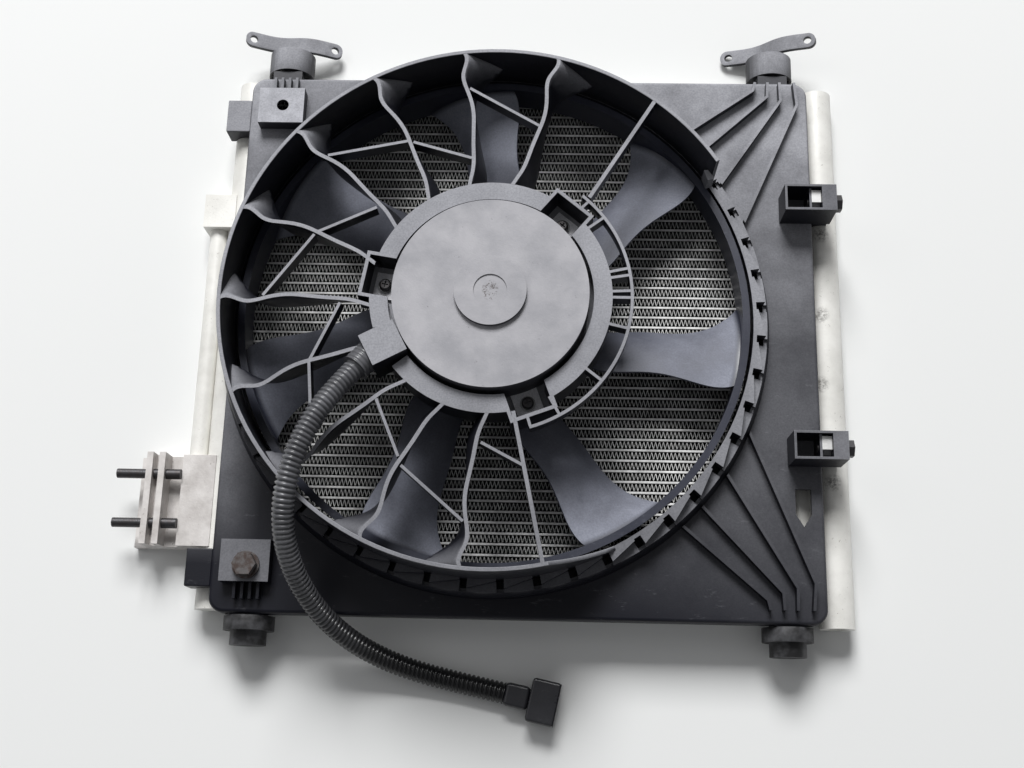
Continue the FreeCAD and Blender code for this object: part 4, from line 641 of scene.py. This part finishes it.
# %% [markdown]
# ## Corrugated conduit
#
# The conduit carries the motor's wires. It leaves the spigot beside the motor, humps over the rim,
# drops past the shroud's lower edge and runs along the floor to its connector. Its line is one
# smooth curve led by given points. A Geometry Nodes tree sweeps a circle along that line, and
# narrows it between the rings. A plain tube with bump would look the same from the front, but its
# outline would be smooth.

# %% The conduit's line, in millimetres
CONDUIT_ROUTE = [
    (-80.7, -48.5, 70.6), (-92.6, -64.4, 76.2), (-103.2, -82.6, 80.2), (-111.4, -102.8, 81.4),
    (-116.6, -123.6, 79.2), (-118.4, -143.4, 71.0), (-116.2, -161.6, 57.6),
    (-109.8, -178.4, 41.4), (-99.0, -193.6, 24.6), (-84.0, -206.2, 9.4), (-65.4, -216.0, -2.6),
    (-43.6, -223.4, -9.8), (-20.0, -228.8, -12.25), (-2.4, -232.4, -12.25),
    (12.0, -235.4, -12.25),
]
CONDUIT_DIAMETER = 13.5 * MM
RING_PITCH = 3.0 * MM
RING_DEPTH = 0.20
STEPS = 6
GROOVE_SLOPE = 0.52
ROUND_SIDES = 28
LINE_STEPS = 24


def smooth_line(name, points):
    """An open curve with the points as its control points, ready to be evaluated."""
    curve = bpy.data.curves.new(name, "CURVE")
    curve.dimensions = "3D"
    curve.resolution_u = LINE_STEPS
    spline = curve.splines.new("NURBS")
    spline.points.add(len(points) - 1)
    for point, spot in zip(spline.points, points):
        point.co = (*spot, 1.0)
    spline.order_u = 3
    spline.use_endpoint_u = True
    line = bpy.data.objects.new(name, curve)
    bpy.context.scene.collection.objects.link(line)
    bpy.context.view_layer.update()
    return line


route_object = smooth_line("conduit_line", [place(*spot) for spot in CONDUIT_ROUTE])
route_mesh = bpy.data.meshes.new_from_object(
    route_object.evaluated_get(bpy.context.evaluated_depsgraph_get()))
route = [vertex.co.copy() for vertex in route_mesh.vertices]
route_length = sum((b - a).length for a, b in zip(route, route[1:]))
print("conduit: %.1f mm along its line" % (route_length / MM))

# %% Rings along a line by Geometry Nodes


def ringed_tree(line, length, name, finish, radius, depth, pitch=RING_PITCH):
    """Sweep a circle along a line, with a groove halfway between two rings; depth is a share of radius."""
    rings = max(2, round(length / pitch))
    tree = new_tree(name, Points=rings * STEPS + 1, Radius=radius, Depth=depth)
    node, link = tree.nodes.new, tree.links.new

    def math_node(operation, first, second):
        made = node("ShaderNodeMath")
        made.operation = operation
        for socket, value in zip(made.inputs, (first, second)):
            if isinstance(value, bpy.types.NodeSocket):
                link(value, socket)
            elif value is not None:
                socket.default_value = value
        return made.outputs[0]

    inputs = node("NodeGroupInput")
    info = node("GeometryNodeObjectInfo")
    info.inputs["Object"].default_value = line
    resample = node("GeometryNodeResampleCurve")
    link(info.outputs["Geometry"], resample.inputs["Curve"])
    link(inputs.outputs["Points"], resample.inputs["Count"])
    step = math_node("MODULO", node("GeometryNodeInputIndex").outputs[0], float(STEPS))
    away = math_node("ABSOLUTE", math_node("SUBTRACT", step, STEPS / 2), None)
    groove = math_node("MAXIMUM", math_node("SUBTRACT", 1.0, math_node("MULTIPLY", away, GROOVE_SLOPE)), 0.0)
    share = math_node("SUBTRACT", 1.0, math_node("MULTIPLY", groove, inputs.outputs["Depth"]))
    circle = node("GeometryNodeCurvePrimitiveCircle")
    circle.inputs["Resolution"].default_value = ROUND_SIDES
    link(inputs.outputs["Radius"], circle.inputs["Radius"])
    sweep = node("GeometryNodeCurveToMesh")
    link(resample.outputs[0], sweep.inputs["Curve"])
    link(circle.outputs[0], sweep.inputs["Profile Curve"])
    link(share, sweep.inputs["Scale"])
    sweep.inputs["Fill Caps"].default_value = True
    smooth = node("GeometryNodeSetShadeSmooth")
    link(sweep.outputs[0], smooth.inputs["Geometry"])
    paint = node("GeometryNodeSetMaterial")
    paint.inputs["Material"].default_value = finish
    link(smooth.outputs[0], paint.inputs["Geometry"])
    output = node("NodeGroupOutput")
    link(paint.outputs[0], output.inputs[0])
    return tree


def glossy_black():
    """Smooth black plastic, paler where it stands high, partly dust and partly painted light from above, and
    clean where it lies low.
    """
    finish = Finish("conduit_gloss", 0.24)
    # The pale mix rises with height: partly dust, partly painted light on the high loops.
    height = finish.remap(finish.axis("Z"), 0.02, 0.09, 0.01, 0.24)
    dusty = finish.calc("MULTIPLY", height, finish.remap(finish.noise(60.0, 5.0), 0.35, 0.70, 0.6, 1.2))
    finish.colour(finish.mix(dusty, (0.006, 0.006, 0.007), PALE_DUST_AND_LIGHT))
    return finish.material


# %% The conduit
conduit_finish = glossy_black()
conduit = run_tree(ringed_tree(route_object, route_length, "ringed_tube", conduit_finish,
                               CONDUIT_DIAMETER / 2, RING_DEPTH), "ringed_conduit")
print("conduit:", len(conduit.data.polygons), "faces")
bpy.data.objects.remove(route_object)
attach(conduit, "condenser")
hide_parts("conduit")

# %% [markdown]
# The conduit's last rings grip the spigot of the outlet block, so a short ringed sleeve goes over it.

# %% Sleeve on the spigot
SPIGOT_ROOT = (-70.4, -34.7, 65.8)
SLEEVE_RADIUS = 9.0 * MM
SLEEVE_DEPTH = 0.08
spigot_root = place(*SPIGOT_ROOT)
sleeve_line = smooth_line("sleeve_line", [spigot_root, (spigot_root + route[0]) / 2, route[0]])
sleeve_length = (route[0] - spigot_root).length
sleeve = run_tree(ringed_tree(sleeve_line, sleeve_length, "ringed_sleeve", conduit_finish, SLEEVE_RADIUS,
                              SLEEVE_DEPTH), "spigot_sleeve")
print("sleeve: %.1f mm long" % (sleeve_length / MM))
bpy.data.objects.remove(sleeve_line)
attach(sleeve, "condenser")

# %% [markdown]
# The two studs are threaded where they stand out of the flange. A real thread is a helix. Rings at its
# pitch look the same at this size, and the conduit's tree can make them.

# %% Stud threads
studs_low, studs_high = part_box("connector_studs")
THREAD_PITCH = 1.0 * MM
THREAD_LONG = 17.0 * MM
THREAD_RADIUS = 3.12 * MM
THREAD_DEPTH = 0.035
STUD_RADIUS = 3.3 * MM
TIP_INSET = 0.2 * MM
for number, y in enumerate((studs_low.y + STUD_RADIUS, studs_high.y - STUD_RADIUS)):
    tip = Vector((studs_low.x + TIP_INSET, y, (studs_low.z + studs_high.z) / 2))
    end = tip + Vector((THREAD_LONG, 0, 0))
    line = smooth_line("thread_line", [tip, (tip + end) / 2, end])
    thread_name = "stud_thread_%d" % number
    thread = run_tree(ringed_tree(line, THREAD_LONG, thread_name, dark_steel, THREAD_RADIUS, THREAD_DEPTH,
                                  THREAD_PITCH), thread_name)
    bpy.data.objects.remove(line)
    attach(thread, "condenser")
print("stud threads: %.0f mm long" % (THREAD_LONG / MM))

# %% [markdown]
# ## Small mouldings
#
# Pieces too small for the solids: a lug and a lump at the torn end of the rim, a sliver of flash beside
# the rim, and a pale plate set high inside each of the two clip boxes, painted light that stands in for
# the bright view through each clip's window. Each is a prism over a given outline with its edges
# rounded, which is quicker to set than a sculpted shape and as good at this size.

# %% A moulding over an outline


def moulding(name, outline, low, high, finish, bevel):
    """A prism over an outline, from one height to another, with rounded edges."""
    build = bmesh.new()
    under = [build.verts.new(place(x, y, low)) for x, y in outline]
    over = [build.verts.new(place(x, y, high)) for x, y in outline]
    build.faces.new(list(reversed(under)))
    build.faces.new(over)
    count = len(outline)
    for i in range(count):
        j = (i + 1) % count
        build.faces.new([under[i], under[j], over[j], over[i]])
    bmesh.ops.bevel(build, geom=list(build.edges), offset=bevel * MM, segments=EDGE_STEPS,
                    profile=0.5, affect="EDGES")
    bmesh.ops.recalc_face_normals(build, faces=build.faces)
    mesh = bpy.data.meshes.new(name)
    build.to_mesh(mesh)
    build.free()
    mesh.materials.append(finish)
    piece = bpy.data.objects.new(name, mesh)
    bpy.context.scene.collection.objects.link(piece)
    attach(piece, "condenser")
    return piece


def oblong(left, bottom, right, top):
    """The four corners of a rectangle."""
    return [(left, bottom), (right, bottom), (right, top), (left, top)]


# %% Rim pieces and pale plates painting the clip windows' light
LUG = [(137.5, 95.0), (143.0, 97.5), (140.0, 106.5), (134.5, 110.5), (131.5, 107.5)]
LUMP = [(137.0, 87.5), (141.5, 89.0), (139.5, 95.5), (134.5, 95.0)]
FLASH = [(99.5, 147.5), (103.4, 144.5), (104.2, 150.5)]
moulding("rim_lug", LUG, 34.0, 46.0, edge_dust_and_highlight, 1.0)
moulding("rim_lump", LUMP, 36.0, 50.0, edge_dust_and_highlight, 0.8)
moulding("rim_flash", FLASH, 22.0, 42.0, stator_finish, 0.2)
# The pale plates are set high, where light falls, to paint the bright window of each clip box: painted
# light.
CLIP_LEFT, CLIP_RIGHT = 206.9, 213.1
CLIP_BELOW, CLIP_ABOVE = 2.2, 6.4
CLIP_MIDDLES = {"upper": 82.4, "lower": -83.3}
for where, middle in CLIP_MIDDLES.items():
    outline = oblong(CLIP_LEFT, middle - CLIP_BELOW, CLIP_RIGHT, middle + CLIP_ABOVE)
    moulding("clip_spring_" + where, outline, 33.2, 34.2, plate_finish, 0.2)
print("small mouldings:", 3 + len(CLIP_MIDDLES))

# %% [markdown]
# ## Floor and light
#
# The object lies on a white sheet in daylight. A big lamp stands far beyond the upper edge, so that
# the rim throws a deep shade on the core below it, and a weak one fills from the left. The sheet's
# own colour is kept just below white, so that it shows the object's shadow.

# %% Floor
FLOOR_Z = cad_low.z
FLOOR_HALF = 3.0
floor_mesh = bpy.data.meshes.new("floor")
corners = [(x, y, FLOOR_Z) for x, y in oblong(-FLOOR_HALF, -FLOOR_HALF, FLOOR_HALF, FLOOR_HALF)]
floor_mesh.from_pydata(corners, [], [(0, 1, 2, 3)])
floor = bpy.data.objects.new("floor", floor_mesh)
bpy.context.scene.collection.objects.link(floor)
paper = Finish("floor_white", 0.8)
paper.colour((0.83, 0.838, 0.832))
floor_mesh.materials.append(paper.material)
print("floor at", round(FLOOR_Z, 4))

# %% Lamps and sky


def lamp(name, spot, size, power):
    """A square lamp that looks at the object's middle."""
    data = bpy.data.lights.new(name, "AREA")
    data.size = size
    data.energy = power
    light = bpy.data.objects.new(name, data)
    bpy.context.scene.collection.objects.link(light)
    light.location = spot
    light.rotation_euler = (-Vector(spot)).to_track_quat("-Z", "Y").to_euler()


SKY_COLOUR = (0.97, 0.98, 1.0, 1.0)
SKY_STRENGTH = 0.19
lamp("window", (-0.5, 4.3, 4.2), size=2.5, power=430.0)
lamp("fill", (-1.1, 0.5, 1.6), size=1.0, power=3.0)
world = bpy.data.worlds.new("world")
world.use_nodes = True
world.node_tree.nodes["Background"].inputs["Color"].default_value = SKY_COLOUR
world.node_tree.nodes["Background"].inputs["Strength"].default_value = SKY_STRENGTH
bpy.context.scene.world = world
